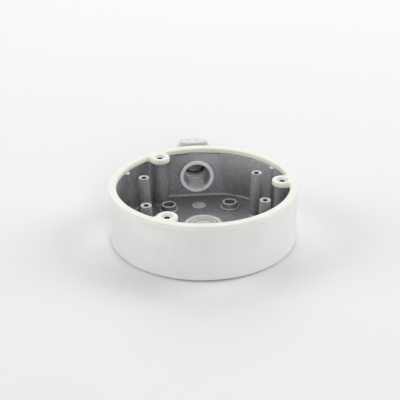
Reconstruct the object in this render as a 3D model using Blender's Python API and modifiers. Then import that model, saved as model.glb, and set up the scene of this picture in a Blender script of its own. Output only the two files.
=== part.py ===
"""Round camera junction box: a die-cast housing with a rubber rim gasket, a cable gland and a base plug.

The box stands on its wall face at Z = 0 with its axis on Z. The cable port looks along +Y and the
first gasket ear lies on +X. All lengths are metres.
"""

from math import asin, cos, pi, radians, sin, sqrt

import bmesh
import bpy
from mathutils import Matrix, Vector

MM = 0.001
GAP = 0.3 * MM
OVERCUT = 2.0 * MM
ROUND_STEPS = 24
HOLE_STEPS = 16
MERGE_DISTANCE = 0.01 * MM
OUTLINE_MERGE = 0.001 * MM
SHARP_ANGLE_DEG = 32

# Housing shell
WALL_RADIUS_TOP = 67.8 * MM
WALL_DRAFT = 0.3 * MM
WALL_THICKNESS = 4.9 * MM
CAVITY_DRAFT = 0.6 * MM
FLOOR_THICKNESS = 3.0 * MM
FLOOR_FILLET = 2.6 * MM
FLOOR_FILLET_STEPS = 5
BASE_EDGE_RADIUS = 1.0 * MM
BASE_EDGE_STEPS = 4
SHELL_STEPS = 84

# Flat land on the inner wall around the cable port
PAD_DEPTH = 1.9 * MM
PAD_DRAFT = 2.7 * MM
PAD_LIP_HALF_WIDTH = 6.1 * MM
PAD_LIP_RISE = 0.9 * MM

# Rim gasket
GASKET_OVERHANG_OUTSIDE = 0.7 * MM
GASKET_OVERHANG_INSIDE = 0.54 * MM
GASKET_THICKNESS = 3.9 * MM
GASKET_EDGE_RADIUS = 0.8 * MM
GASKET_EDGE_STEPS = 2
GASKET_EDGE_ANGLE_DEG = 50
EAR_COUNT = 3
EAR_INSET = 10.6 * MM
EAR_RADIUS = 7.4 * MM
EAR_STEPS = 14
EAR_FILLET = 3.2 * MM
EAR_FILLET_STEPS = 5
EAR_HOLE_RADIUS = 3.8 * MM
EAR_HOLE_STEPS = 20

# Screw columns that carry the ears
COLUMN_RADIUS_TOP = 5.0 * MM
COLUMN_RADIUS_FLOOR = 5.6 * MM
COLUMN_WEB_WIDTH = 9.8 * MM
COLUMN_SPIGOT_HEIGHT = 2.6 * MM
COLUMN_SCREW_RADIUS = 1.7 * MM
COLUMN_SCREW_DEPTH = 14.0 * MM

# Posts for the camera bracket
POST_HALF_SPAN_X = 41.75 * MM
POST_HALF_SPAN_Y = 23.0 * MM
POST_TOP_DROP = 0.2 * MM
POST_RADIUS_TOP = 3.95 * MM
POST_RADIUS_FLOOR = 4.9 * MM
POST_ROOT_RADIUS = 6.2 * MM
POST_ROOT_HEIGHT = 1.6 * MM
POST_SCREW_RADIUS = 1.5 * MM
POST_SCREW_DEPTH = 16.0 * MM

# Half-round ribs on the inner wall
RIB_AZIMUTHS_DEG = (30.0, 149.0)
RIB_RADIUS_TOP = 2.0 * MM
RIB_RADIUS_FLOOR = 2.5 * MM
RIB_TOP_DROP = 2.0 * MM

# Bosses for the wall screws
WALL_BOSS_HALF_SPAN_X = 23.4 * MM
WALL_BOSS_HALF_SPAN_Y = 37.0 * MM
WALL_BOSS_RADIUS = 5.6 * MM
WALL_BOSS_HEIGHT = 4.4 * MM
WALL_BOSS_FLANGE_RADIUS = 7.2 * MM
WALL_BOSS_FLANGE_HEIGHT = 0.7 * MM
WALL_BOSS_RECESS_RADIUS = 4.1 * MM
WALL_BOSS_RECESS_DEPTH = 3.6 * MM
WALL_SCREW_RADIUS = 2.2 * MM
BOSS_DRAFT = 0.4 * MM

# Round ejector pad on the floor
EJECTOR_PAD_Y = 41.0 * MM
EJECTOR_PAD_RADIUS = 5.5 * MM
EJECTOR_PAD_HEIGHT = 0.4 * MM

# Base hole and its collar
COLLAR_BORE_RADIUS = 10.6 * MM
COLLAR_WALL = 3.5 * MM
COLLAR_HEIGHT = 5.8 * MM

# Base plug
PLUG_RIM_DEPTH = 1.3 * MM
PLUG_RIM_WIDTH = 2.8 * MM
PLUG_RIM_DRAFT = 0.3 * MM
PLUG_EDGE_CHAMFER = 0.4 * MM
PLUG_TOP_DROP = 0.2 * MM
PLUG_FACE_RECESS = 0.8 * MM
PLUG_SLOT_LENGTH = 13.0 * MM
PLUG_SLOT_WIDTH = 2.4 * MM
PLUG_SLOT_DEPTH = 2.2 * MM
PLUG_RING_THICKNESS = 1.6 * MM
PLUG_RING_SQUEEZE = 0.6 * MM
PLUG_RING_STEPS = 8
PLUG_GROOVE_Z = 3.4 * MM

# Cable port, which sets how deep the box is
PORT_BORE_RADIUS = 9.6 * MM
PORT_RING_WALL = 3.5 * MM
PORT_RING_HEIGHT = 3.8 * MM
PORT_SPIGOT_WALL = 2.6 * MM
PORT_SPIGOT_LENGTH = 5.7 * MM
PORT_THREAD_DEPTH = 5.0 * MM
PORT_BASE_CLEARANCE = 4.5 * MM
PORT_RIM_CLEARANCE = 2.1 * MM

# Gland body
GLAND_SHANK_WALL = 2.9 * MM
GLAND_WASHER_THICKNESS = 1.5 * MM
GLAND_WASHER_WIDTH = 1.8 * MM
GLAND_COLLAR_OVERHANG = 2.5 * MM
GLAND_COLLAR_LENGTH = 4.8 * MM
GLAND_NECK_WALL = 2.8 * MM
GLAND_NECK_LENGTH = 11.6 * MM
GLAND_RIDGE_HEIGHT = 0.45 * MM
GLAND_RIDGE_WIDTH = 1.1 * MM
GLAND_RIDGE_PITCH = 3.3 * MM
GLAND_RIDGE_COUNT = 2
GLAND_THREAD_CHAMFER = 0.8 * MM
GLAND_SEAT_INSET = 2.6 * MM
GLAND_STEPS = 40

# Gland seal
SEAL_SEAT_WIDTH = 1.1 * MM
SEAL_HOLE_RADIUS = 4.5 * MM
SEAL_FLANGE_WIDTH = 2.1 * MM
SEAL_FLANGE_LENGTH = 2.6 * MM
SEAL_EDGE_RADIUS = 1.0 * MM
SEAL_EDGE_STEPS = 3
SEAL_TRAVEL = 2.0 * MM

# Gland nut
NUT_WALL = 3.0 * MM
NUT_CHAMFER = 1.2 * MM
NUT_BAND_SETBACK = 1.0 * MM
NUT_DOME_INSET = 1.3 * MM
NUT_DOME_STRAIGHT = 1.2 * MM
NUT_DOME_SHOULDER_LENGTH = 3.0 * MM
NUT_DOME_SHOULDER_DROP = 1.1 * MM
NUT_LIP_WIDTH = 4.3 * MM
NUT_LIP_THICKNESS = 5.8 * MM
NUT_MOUTH_WALL = 2.8 * MM
NUT_MOUTH_CHAMFER = 0.6 * MM
NUT_END_CLEARANCE = 2.6 * MM
NUT_GROOVES_PER_FLAT = 2
NUT_GROOVE_WIDTH = 0.9 * MM
NUT_GROOVE_DEPTH = 0.35 * MM

# Radii of the gland and its port, which follow from the bore outwards
SEAL_POCKET_RADIUS = PORT_BORE_RADIUS + SEAL_SEAT_WIDTH
SEAL_RADIUS = SEAL_POCKET_RADIUS - GAP
SEAL_FLANGE_RADIUS = SEAL_RADIUS + SEAL_FLANGE_WIDTH
GLAND_SHANK_RADIUS = PORT_BORE_RADIUS + GLAND_SHANK_WALL
GLAND_COLLAR_ACROSS_FLATS = 2 * (GLAND_SHANK_RADIUS + GLAND_COLLAR_OVERHANG)
GLAND_NECK_RADIUS = SEAL_POCKET_RADIUS + GLAND_NECK_WALL
PORT_THREAD_RADIUS = GLAND_SHANK_RADIUS + GAP
PORT_RING_RADIUS = PORT_BORE_RADIUS + PORT_RING_WALL
PORT_SPIGOT_RADIUS = PORT_THREAD_RADIUS + PORT_SPIGOT_WALL
NUT_ACROSS_FLATS = 2 * (GLAND_NECK_RADIUS + NUT_WALL)
NUT_DOME_RADIUS = NUT_ACROSS_FLATS / 2 - NUT_DOME_INSET
NUT_MOUTH_RADIUS = SEAL_FLANGE_RADIUS - NUT_LIP_WIDTH
NUT_MOUTH_OUTER_RADIUS = NUT_MOUTH_RADIUS + NUT_MOUTH_WALL

# Heights and radii of the box
PORT_AXIS_Z = PORT_BASE_CLEARANCE + PORT_SPIGOT_RADIUS
WALL_TOP_Z = PORT_AXIS_Z + PORT_SPIGOT_RADIUS + PORT_RIM_CLEARANCE
WALL_RADIUS_BASE = WALL_RADIUS_TOP - WALL_DRAFT
CAVITY_RADIUS_TOP = WALL_RADIUS_TOP - WALL_THICKNESS
CAVITY_RADIUS_FLOOR = CAVITY_RADIUS_TOP - CAVITY_DRAFT
PAD_Y_TOP = CAVITY_RADIUS_TOP - PAD_DEPTH
PAD_Y_FLOOR = PAD_Y_TOP - PAD_DRAFT
GASKET_OUTER_RADIUS = WALL_RADIUS_TOP + GASKET_OVERHANG_OUTSIDE
GASKET_INNER_RADIUS = CAVITY_RADIUS_TOP - GASKET_OVERHANG_INSIDE
GASKET_BOTTOM_Z = WALL_TOP_Z + GAP
GASKET_TOP_Z = GASKET_BOTTOM_Z + GASKET_THICKNESS
EAR_CIRCLE_RADIUS = WALL_RADIUS_TOP - EAR_INSET
SPIGOT_TOP_Z = WALL_TOP_Z + COLUMN_SPIGOT_HEIGHT
POST_TOP_Z = WALL_TOP_Z - POST_TOP_DROP
RIB_TOP_Z = WALL_TOP_Z - RIB_TOP_DROP
COLLAR_OUTER_RADIUS = COLLAR_BORE_RADIUS + COLLAR_WALL
COLLAR_TOP_Z = FLOOR_THICKNESS + COLLAR_HEIGHT
PLUG_RADIUS = COLLAR_BORE_RADIUS - GAP

# Places along the port axis, from the box outwards
PORT_RING_FACE_Y = PAD_Y_TOP - PORT_RING_HEIGHT
PORT_SPIGOT_FACE_Y = WALL_RADIUS_TOP + PORT_SPIGOT_LENGTH
PORT_THREAD_START_Y = PORT_SPIGOT_FACE_Y - PORT_THREAD_DEPTH
SHANK_START_Y = PORT_THREAD_START_Y + GAP
WASHER_START_Y = PORT_SPIGOT_FACE_Y + GAP
COLLAR_START_Y = WASHER_START_Y + GLAND_WASHER_THICKNESS + GAP
NECK_START_Y = COLLAR_START_Y + GLAND_COLLAR_LENGTH
NECK_END_Y = NECK_START_Y + GLAND_NECK_LENGTH
SEAL_POCKET_Y = NECK_START_Y + GLAND_SEAT_INSET
SEAL_START_Y = SEAL_POCKET_Y + SEAL_TRAVEL + GAP
SEAL_FLANGE_Y = NECK_END_Y + SEAL_TRAVEL + GAP
SEAL_END_Y = SEAL_FLANGE_Y + SEAL_FLANGE_LENGTH
NUT_START_Y = NECK_START_Y + SEAL_TRAVEL + NUT_END_CLEARANCE
NUT_LIP_Y = SEAL_END_Y + GAP
NUT_BAND_END_Y = NUT_LIP_Y - NUT_BAND_SETBACK
NUT_BAND_LENGTH = NUT_BAND_END_Y - NUT_START_Y
NUT_END_Y = NUT_LIP_Y + NUT_LIP_THICKNESS

parts = None
cutters = None


def clear_scene():
    """Remove every object that the file opened with."""
    for item in list(bpy.data.objects):
        bpy.data.objects.remove(item, do_unlink=True)


def new_collection(name):
    """Return a collection linked to the scene."""
    collection = bpy.data.collections.new(name)
    bpy.context.scene.collection.children.link(collection)
    return collection


def make_material(name, colour, roughness, metallic=0.0):
    """Return a Principled material."""
    material = bpy.data.materials.new(name)
    material.use_nodes = True
    shader = material.node_tree.nodes["Principled BSDF"]
    shader.inputs["Base Color"].default_value = (*colour, 1.0)
    shader.inputs["Roughness"].default_value = roughness
    shader.inputs["Metallic"].default_value = metallic
    material.diffuse_color = (*colour, 1.0)
    return material


def link_part(item, material):
    """Put a piece in the visible collection with its own material."""
    parts.objects.link(item)
    item.data.materials.append(material)
    item.data.shade_smooth()
    item.data.set_sharp_from_angle(angle=radians(SHARP_ANGLE_DEG))
    return item


def link_cutter(item):
    """Put a tool in the hidden collection."""
    cutters.objects.link(item)
    item.hide_render = True
    item.display_type = "WIRE"
    return item


def turned(name, profile, steps):
    """Return an object that turns a profile of (radius, height) points about its Z axis."""
    mesh = bpy.data.meshes.new(name)
    points = [(radius, 0.0, height) for radius, height in profile]
    on_axis = profile[0][0] == 0.0
    edges = [(i, i + 1) for i in range(len(points) - 1)]
    if not on_axis:
        edges.append((len(points) - 1, 0))
    mesh.from_pydata(points, edges, [])
    item = bpy.data.objects.new(name, mesh)
    screw = item.modifiers.new("turn", "SCREW")
    screw.axis = "Z"
    screw.steps = steps
    screw.render_steps = steps
    screw.use_merge_vertices = True
    screw.merge_threshold = MERGE_DISTANCE
    screw.use_smooth_shade = True
    return item


def tool_mesh(name, bm):
    """Turn a bmesh into a hidden tool object."""
    mesh = bpy.data.meshes.new(name)
    bm.to_mesh(mesh)
    bm.free()
    return link_cutter(bpy.data.objects.new(name, mesh))


def add_round(bm, x, y, bottom, top, radius_bottom, radius_top, steps=ROUND_STEPS):
    """Add an upright round bar, plain or tapered, to a bmesh."""
    place = Matrix.Translation((x, y, (bottom + top) / 2))
    bmesh.ops.create_cone(bm, cap_ends=True, segments=steps, radius1=radius_bottom,
                          radius2=radius_top, depth=top - bottom, matrix=place)


def add_turned(bm, x, y, profile):
    """Add an upright turned bar to a bmesh, from (radius, height) points that start and end on its axis."""
    verts = [bm.verts.new((x + radius, y, height)) for radius, height in profile]
    edges = [bm.edges.new(pair) for pair in zip(verts, verts[1:])]
    bmesh.ops.spin(bm, geom=verts + edges, cent=(x, y, 0.0), axis=(0.0, 0.0, 1.0), angle=2 * pi,
                   steps=ROUND_STEPS, use_merge=True)
    bmesh.ops.remove_doubles(bm, verts=bm.verts, dist=OUTLINE_MERGE)
    bmesh.ops.recalc_face_normals(bm, faces=bm.faces)


def port_round_tool(name, start, end, radius):
    """Return a tool with a round bar on the port axis between two Y values."""
    middle = Matrix.Translation((0.0, (start + end) / 2, PORT_AXIS_Z))
    bm = bmesh.new()
    bmesh.ops.create_cone(bm, cap_ends=True, segments=GLAND_STEPS, radius1=radius, radius2=radius,
                          depth=end - start, matrix=middle @ Matrix.Rotation(radians(-90), 4, "X"))
    return tool_mesh(name, bm)


def add_block(bm, size, centre, angle=0.0):
    """Add a box, turned about Z after it is moved, to a bmesh."""
    place = Matrix.Rotation(angle, 4, "Z") @ Matrix.Translation(centre) @ Matrix.Diagonal((*size, 1.0))
    bmesh.ops.create_cube(bm, size=1.0, matrix=place)


def prism(name, outlines, length):
    """Return a closed mesh object: flat outlines in XY filled and drawn out evenly about Z = 0."""
    curve = bpy.data.curves.new(name + "_outline", "CURVE")
    curve.dimensions = "2D"
    curve.fill_mode = "BOTH"
    curve.extrude = length / 2
    for outline in outlines:
        spline = curve.splines.new("POLY")
        spline.points.add(len(outline) - 1)
        for point, (x, y) in zip(spline.points, outline):
            point.co = (x, y, 0.0, 1.0)
        spline.use_cyclic_u = True
    source = bpy.data.objects.new(name + "_outline", curve)
    bpy.context.scene.collection.objects.link(source)
    bpy.context.view_layer.update()
    evaluated = source.evaluated_get(bpy.context.evaluated_depsgraph_get())
    mesh = bpy.data.meshes.new_from_object(evaluated)
    bpy.data.objects.remove(source, do_unlink=True)
    bm = bmesh.new()
    bm.from_mesh(mesh)
    bmesh.ops.remove_doubles(bm, verts=bm.verts, dist=OUTLINE_MERGE)
    bmesh.ops.recalc_face_normals(bm, faces=bm.faces)
    bm.to_mesh(mesh)
    bm.free()
    mesh.name = name
    return bpy.data.objects.new(name, mesh)


def arc(centre, radius, start, end, count):
    """Return points along an arc, both ends included, with angles in radians."""
    cx, cy = centre
    angles = [start + (end - start) * i / count for i in range(count + 1)]
    return [(cx + radius * cos(a), cy + radius * sin(a)) for a in angles]


def circle(centre, radius, count):
    """Return the points of a full circle."""
    return arc(centre, radius, 0.0, 2 * pi, count)[:-1]


def polar(radius, azimuth):
    """Return the XY point at a radius and an azimuth in radians."""
    return radius * cos(azimuth), radius * sin(azimuth)


def cut(target, tool, operation="DIFFERENCE"):
    """Add an exact Boolean to a piece."""
    modifier = target.modifiers.new(tool.name, "BOOLEAN")
    modifier.operation = operation
    modifier.solver = "EXACT"
    modifier.object = tool


def weld(target):
    """Merge the doubled points that a cut can leave."""
    modifier = target.modifiers.new("weld", "WELD")
    modifier.merge_threshold = MERGE_DISTANCE


def along_port(item):
    """Stand a piece that was turned about Z on the port axis, with its Z along +Y."""
    item.location = (0.0, 0.0, PORT_AXIS_Z)
    item.rotation_euler = (radians(-90), 0.0, 0.0)


def ear_azimuths():
    """Return the azimuths of the gasket ears and their columns."""
    return [2 * pi * i / EAR_COUNT for i in range(EAR_COUNT)]


def post_places():
    """Return the XY places of the four bracket posts."""
    return [(sx * POST_HALF_SPAN_X, sy * POST_HALF_SPAN_Y) for sx in (-1, 1) for sy in (-1, 1)]


def wall_boss_places():
    """Return the XY places of the four wall screw bosses."""
    return [(sx * WALL_BOSS_HALF_SPAN_X, sy * WALL_BOSS_HALF_SPAN_Y) for sx in (-1, 1) for sy in (-1, 1)]


def cavity_radius(z):
    """Return the radius of the tapered cavity at a height."""
    share = (z - FLOOR_THICKNESS) / (WALL_TOP_Z - FLOOR_THICKNESS)
    return CAVITY_RADIUS_FLOOR + (CAVITY_RADIUS_TOP - CAVITY_RADIUS_FLOOR) * share


def cavity_lands():
    """Return the tools of what stays solid at the cavity wall: port pad, screw columns and ribs."""
    top = WALL_TOP_Z + OVERCUT
    outside = WALL_RADIUS_TOP + OVERCUT
    fillet_centre = (PAD_Y_FLOOR - FLOOR_FILLET, FLOOR_THICKNESS + FLOOR_FILLET)
    outline = [(outside, top), (PAD_Y_TOP, top)]
    outline += arc(fillet_centre, FLOOR_FILLET, 0.0, -pi / 2, FLOOR_FILLET_STEPS)
    outline += [(fillet_centre[0], -OVERCUT), (outside, -OVERCUT)]
    pad = prism("port_pad", [outline], 2 * WALL_RADIUS_TOP)
    pad.data.transform(Matrix(((0, 0, 1, 0), (1, 0, 0, 0), (0, 1, 0, 0), (0, 0, 0, 1))))
    link_cutter(pad)

    bm = bmesh.new()
    for azimuth in ear_azimuths():
        x, y = polar(EAR_CIRCLE_RADIUS, azimuth)
        add_round(bm, x, y, -OVERCUT, top, COLUMN_RADIUS_FLOOR, COLUMN_RADIUS_TOP)
    columns = tool_mesh("screw_columns", bm)

    bm = bmesh.new()
    web_length = outside - EAR_CIRCLE_RADIUS
    web_height = top + OVERCUT
    for azimuth in ear_azimuths():
        centre = (EAR_CIRCLE_RADIUS + web_length / 2, 0.0, web_height / 2 - OVERCUT)
        add_block(bm, (web_length, COLUMN_WEB_WIDTH, web_height), centre, azimuth)
    webs = tool_mesh("column_webs", bm)

    bm = bmesh.new()
    for azimuth in RIB_AZIMUTHS_DEG:
        x, y = polar(cavity_radius(RIB_TOP_Z), radians(azimuth))
        add_round(bm, x, y, -OVERCUT, RIB_TOP_Z, RIB_RADIUS_FLOOR, RIB_RADIUS_TOP)
    ribs = tool_mesh("wall_ribs", bm)
    return [pad, columns, webs, ribs]


def make_cavity():
    """Return the cavity tool: a tapered bowl less the lands at its wall."""
    top = WALL_TOP_Z + OVERCUT
    fillet_z = FLOOR_THICKNESS + FLOOR_FILLET
    fillet_centre = (cavity_radius(fillet_z) - FLOOR_FILLET, fillet_z)
    profile = [(0.0, top), (cavity_radius(top), top)]
    profile += arc(fillet_centre, FLOOR_FILLET, 0.0, -pi / 2, FLOOR_FILLET_STEPS)
    profile += [(0.0, FLOOR_THICKNESS)]
    cavity = link_cutter(turned("cavity", profile, SHELL_STEPS))
    for land in cavity_lands():
        cut(cavity, land)
    return cavity


def standing_features():
    """Return the tools that are joined to the bowl: posts, bosses, collar, port ring and spigot."""
    sunk = FLOOR_THICKNESS / 2
    tools = []

    root_top = FLOOR_THICKNESS + POST_ROOT_HEIGHT
    post_profile = [(0.0, POST_TOP_Z), (POST_RADIUS_TOP, POST_TOP_Z), (POST_RADIUS_FLOOR, root_top)]
    post_profile += [(POST_ROOT_RADIUS, FLOOR_THICKNESS), (POST_ROOT_RADIUS, sunk), (0.0, sunk)]
    bm = bmesh.new()
    for x, y in post_places():
        add_turned(bm, x, y, post_profile)
    tools.append(tool_mesh("posts", bm))

    boss_top = FLOOR_THICKNESS + WALL_BOSS_HEIGHT
    flange_top = FLOOR_THICKNESS + WALL_BOSS_FLANGE_HEIGHT
    boss_profile = [(0.0, boss_top), (WALL_BOSS_RADIUS, boss_top)]
    boss_profile += [(WALL_BOSS_RADIUS + BOSS_DRAFT, flange_top), (WALL_BOSS_FLANGE_RADIUS, flange_top)]
    boss_profile += [(WALL_BOSS_FLANGE_RADIUS, sunk), (0.0, sunk)]
    bm = bmesh.new()
    for x, y in wall_boss_places():
        add_turned(bm, x, y, boss_profile)
    pad_top = FLOOR_THICKNESS + EJECTOR_PAD_HEIGHT
    add_round(bm, 0.0, EJECTOR_PAD_Y, sunk, pad_top, EJECTOR_PAD_RADIUS, EJECTOR_PAD_RADIUS)
    collar_foot = COLLAR_OUTER_RADIUS + BOSS_DRAFT
    add_round(bm, 0.0, 0.0, sunk, COLLAR_TOP_Z, collar_foot, COLLAR_OUTER_RADIUS, GLAND_STEPS)
    tools.append(tool_mesh("floor_bosses", bm))

    bm = bmesh.new()
    for azimuth in ear_azimuths():
        x, y = polar(EAR_CIRCLE_RADIUS, azimuth)
        spigot_radius = EAR_HOLE_RADIUS - GAP
        add_round(bm, x, y, WALL_TOP_Z - OVERCUT, SPIGOT_TOP_Z, spigot_radius, spigot_radius)
    tools.append(tool_mesh("ear_spigots", bm))

    bm = bmesh.new()
    lip_outer_y = GASKET_INNER_RADIUS - 2 * GAP
    lip_size = (2 * PAD_LIP_HALF_WIDTH, lip_outer_y - PAD_Y_TOP, PAD_LIP_RISE + OVERCUT)
    lip_centre = (0.0, (lip_outer_y + PAD_Y_TOP) / 2, WALL_TOP_Z + (PAD_LIP_RISE - OVERCUT) / 2)
    add_block(bm, lip_size, lip_centre)
    tools.append(tool_mesh("pad_lip", bm))

    inside_wall_y = (PAD_Y_TOP + WALL_RADIUS_BASE) / 2
    tools.append(port_round_tool("port_ring", PORT_RING_FACE_Y, inside_wall_y, PORT_RING_RADIUS))
    tools.append(port_round_tool("port_spigot", inside_wall_y, PORT_SPIGOT_FACE_Y, PORT_SPIGOT_RADIUS))
    return tools


def housing_holes():
    """Return the tools that are cut from the housing."""
    tools = []
    bm = bmesh.new()
    add_round(bm, 0.0, 0.0, -OVERCUT, COLLAR_TOP_Z + OVERCUT,
              COLLAR_BORE_RADIUS, COLLAR_BORE_RADIUS, GLAND_STEPS)
    boss_top = FLOOR_THICKNESS + WALL_BOSS_HEIGHT
    for x, y in wall_boss_places():
        add_round(bm, x, y, boss_top - WALL_BOSS_RECESS_DEPTH, boss_top + OVERCUT,
                  WALL_BOSS_RECESS_RADIUS, WALL_BOSS_RECESS_RADIUS)
    for x, y in post_places():
        add_round(bm, x, y, POST_TOP_Z - POST_SCREW_DEPTH, POST_TOP_Z + OVERCUT,
                  POST_SCREW_RADIUS, POST_SCREW_RADIUS, HOLE_STEPS)
    for azimuth in ear_azimuths():
        x, y = polar(EAR_CIRCLE_RADIUS, azimuth)
        add_round(bm, x, y, WALL_TOP_Z - COLUMN_SCREW_DEPTH, SPIGOT_TOP_Z + OVERCUT,
                  COLUMN_SCREW_RADIUS, COLUMN_SCREW_RADIUS, HOLE_STEPS)
    tools.append(tool_mesh("upright_holes", bm))

    bm = bmesh.new()
    for x, y in wall_boss_places():
        add_round(bm, x, y, -OVERCUT, boss_top, WALL_SCREW_RADIUS, WALL_SCREW_RADIUS, HOLE_STEPS)
    tools.append(tool_mesh("wall_screw_holes", bm))

    bore_end = PORT_THREAD_START_Y + OVERCUT
    tools.append(port_round_tool("port_bore", PORT_RING_FACE_Y - OVERCUT, bore_end, PORT_BORE_RADIUS))
    thread_end = PORT_SPIGOT_FACE_Y + OVERCUT
    tools.append(port_round_tool("port_thread_hole", PORT_THREAD_START_Y, thread_end, PORT_THREAD_RADIUS))
    return tools


def make_housing(material):
    """Build the die-cast housing in one piece."""
    edge_centre = (WALL_RADIUS_BASE - BASE_EDGE_RADIUS, BASE_EDGE_RADIUS)
    profile = [(0.0, WALL_TOP_Z), (WALL_RADIUS_TOP, WALL_TOP_Z)]
    profile += arc(edge_centre, BASE_EDGE_RADIUS, 0.0, -pi / 2, BASE_EDGE_STEPS)
    profile += [(0.0, 0.0)]
    housing = turned("housing", profile, SHELL_STEPS)
    link_part(housing, material)
    cut(housing, make_cavity())
    weld(housing)
    for tool in standing_features():
        cut(housing, tool, "UNION")
    for tool in housing_holes():
        cut(housing, tool)
        weld(housing)
    return housing


def gasket_inner_outline():
    """Return the inner outline of the rim gasket, with its ears and the fillets beside them."""
    centre_x = EAR_RADIUS + EAR_FILLET
    centre_reach = GASKET_INNER_RADIUS - EAR_FILLET
    centre_radial = sqrt(centre_reach ** 2 - centre_x ** 2)
    fillet_azimuth = asin(centre_x / centre_reach)
    sector = 2 * pi / EAR_COUNT
    points = []
    for azimuth in ear_azimuths():
        local = arc((centre_radial, -centre_x), EAR_FILLET, -fillet_azimuth, pi / 2, EAR_FILLET_STEPS)
        local += arc((EAR_CIRCLE_RADIUS, 0.0), EAR_RADIUS, -pi / 2, -3 * pi / 2, EAR_STEPS)
        local += arc((centre_radial, centre_x), EAR_FILLET, -pi / 2, fillet_azimuth, EAR_FILLET_STEPS)
        rim = circle_span(fillet_azimuth, sector - fillet_azimuth)
        turn = Matrix.Rotation(azimuth, 2)
        points += [tuple(turn @ Vector(point)) for point in local + rim]
    return points


def circle_span(start, end):
    """Return the points between two azimuths on the gasket's inner circle, both ends left out."""
    count = round((end - start) / (2 * pi) * SHELL_STEPS)
    return arc((0.0, 0.0), GASKET_INNER_RADIUS, start, end, count)[1:-1]


def mark_top_edges(item):
    """Give the sharp edges round the top of a flat piece a full bevel weight."""
    bm = bmesh.new()
    bm.from_mesh(item.data)
    weights = bm.edges.layers.float.new("bevel_weight_edge")
    for edge in bm.edges:
        at_top = all(vert.co.z > 0.0 for vert in edge.verts)
        if at_top and edge.calc_face_angle(0.0) > radians(GASKET_EDGE_ANGLE_DEG):
            edge[weights] = 1.0
    bm.to_mesh(item.data)
    bm.free()


def make_gasket(material):
    """Build the rim gasket with its three ears."""
    outlines = [circle((0.0, 0.0), GASKET_OUTER_RADIUS, SHELL_STEPS), gasket_inner_outline()]
    for azimuth in ear_azimuths():
        outlines.append(circle(polar(EAR_CIRCLE_RADIUS, azimuth), EAR_HOLE_RADIUS, EAR_HOLE_STEPS))
    gasket = prism("rim_gasket", outlines, GASKET_THICKNESS)
    link_part(gasket, material)
    gasket.location = (0.0, 0.0, (GASKET_BOTTOM_Z + GASKET_TOP_Z) / 2)
    mark_top_edges(gasket)
    bevel = gasket.modifiers.new("round_edges", "BEVEL")
    bevel.limit_method = "WEIGHT"
    bevel.width = GASKET_EDGE_RADIUS
    bevel.segments = GASKET_EDGE_STEPS
    return gasket


def make_base_plug(material):
    """Build the threaded plug that closes the base hole."""
    top = COLLAR_TOP_Z - PLUG_TOP_DROP
    dish = top - PLUG_RIM_DEPTH
    face = PLUG_FACE_RECESS
    dish_radius = PLUG_RADIUS - PLUG_RIM_WIDTH
    groove_radius = PLUG_RADIUS + GAP - PLUG_RING_THICKNESS - PLUG_RING_SQUEEZE
    groove_half = PLUG_RING_THICKNESS / 2 + GAP
    edge = PLUG_EDGE_CHAMFER
    profile = [(0.0, dish), (dish_radius, dish), (dish_radius + PLUG_RIM_DRAFT, top)]
    profile += [(PLUG_RADIUS - edge, top), (PLUG_RADIUS, top - edge)]
    profile += [(PLUG_RADIUS, PLUG_GROOVE_Z + groove_half), (groove_radius, PLUG_GROOVE_Z + groove_half)]
    profile += [(groove_radius, PLUG_GROOVE_Z - groove_half), (PLUG_RADIUS, PLUG_GROOVE_Z - groove_half)]
    profile += [(PLUG_RADIUS, face + edge), (PLUG_RADIUS - edge, face), (0.0, face)]
    plug = turned("base_plug", profile, GLAND_STEPS)
    link_part(plug, material)
    bm = bmesh.new()
    add_block(bm, (PLUG_SLOT_LENGTH, PLUG_SLOT_WIDTH, 2 * PLUG_SLOT_DEPTH), (0.0, 0.0, face))
    cut(plug, tool_mesh("driver_slot", bm))
    return plug


def make_plug_ring(material):
    """Build the O-ring in the groove of the base plug."""
    section = PLUG_RING_THICKNESS / 2
    centre = (COLLAR_BORE_RADIUS - GAP - section, PLUG_GROOVE_Z)
    profile = arc(centre, section, pi, -pi, PLUG_RING_STEPS)[:-1]
    ring = turned("base_plug_ring", profile, GLAND_STEPS)
    return link_part(ring, material)


def make_washer(material):
    """Build the flat sealing washer between the spigot and the gland."""
    inner = GLAND_SHANK_RADIUS + GAP
    outer = inner + GLAND_WASHER_WIDTH
    end = WASHER_START_Y + GLAND_WASHER_THICKNESS
    profile = [(inner, end), (outer, end), (outer, WASHER_START_Y), (inner, WASHER_START_Y)]
    washer = turned("gland_washer", profile, GLAND_STEPS)
    along_port(washer)
    return link_part(washer, material)


def hexagon(name, across_flats, start, end):
    """Return a hexagonal bar along Z between two heights, with flats that face along Y."""
    corner = across_flats / sqrt(3)
    bar = prism(name, [circle((0.0, 0.0), corner, 6)], end - start)
    bar.data.transform(Matrix.Translation((0.0, 0.0, (start + end) / 2)))
    return bar


def chamfered_envelope(name, across_flats, start, end, chamfer):
    """Return a turned tool that takes the corners off both ends of a hexagonal bar."""
    full_radius = across_flats / sqrt(3) + chamfer / 2
    beyond_radius = across_flats - full_radius
    profile = [(0.0, end + chamfer), (beyond_radius, end + chamfer), (full_radius, end - chamfer)]
    profile += [(full_radius, start + chamfer), (beyond_radius, start - chamfer), (0.0, start - chamfer)]
    return link_cutter(turned(name, profile, GLAND_STEPS))


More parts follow.
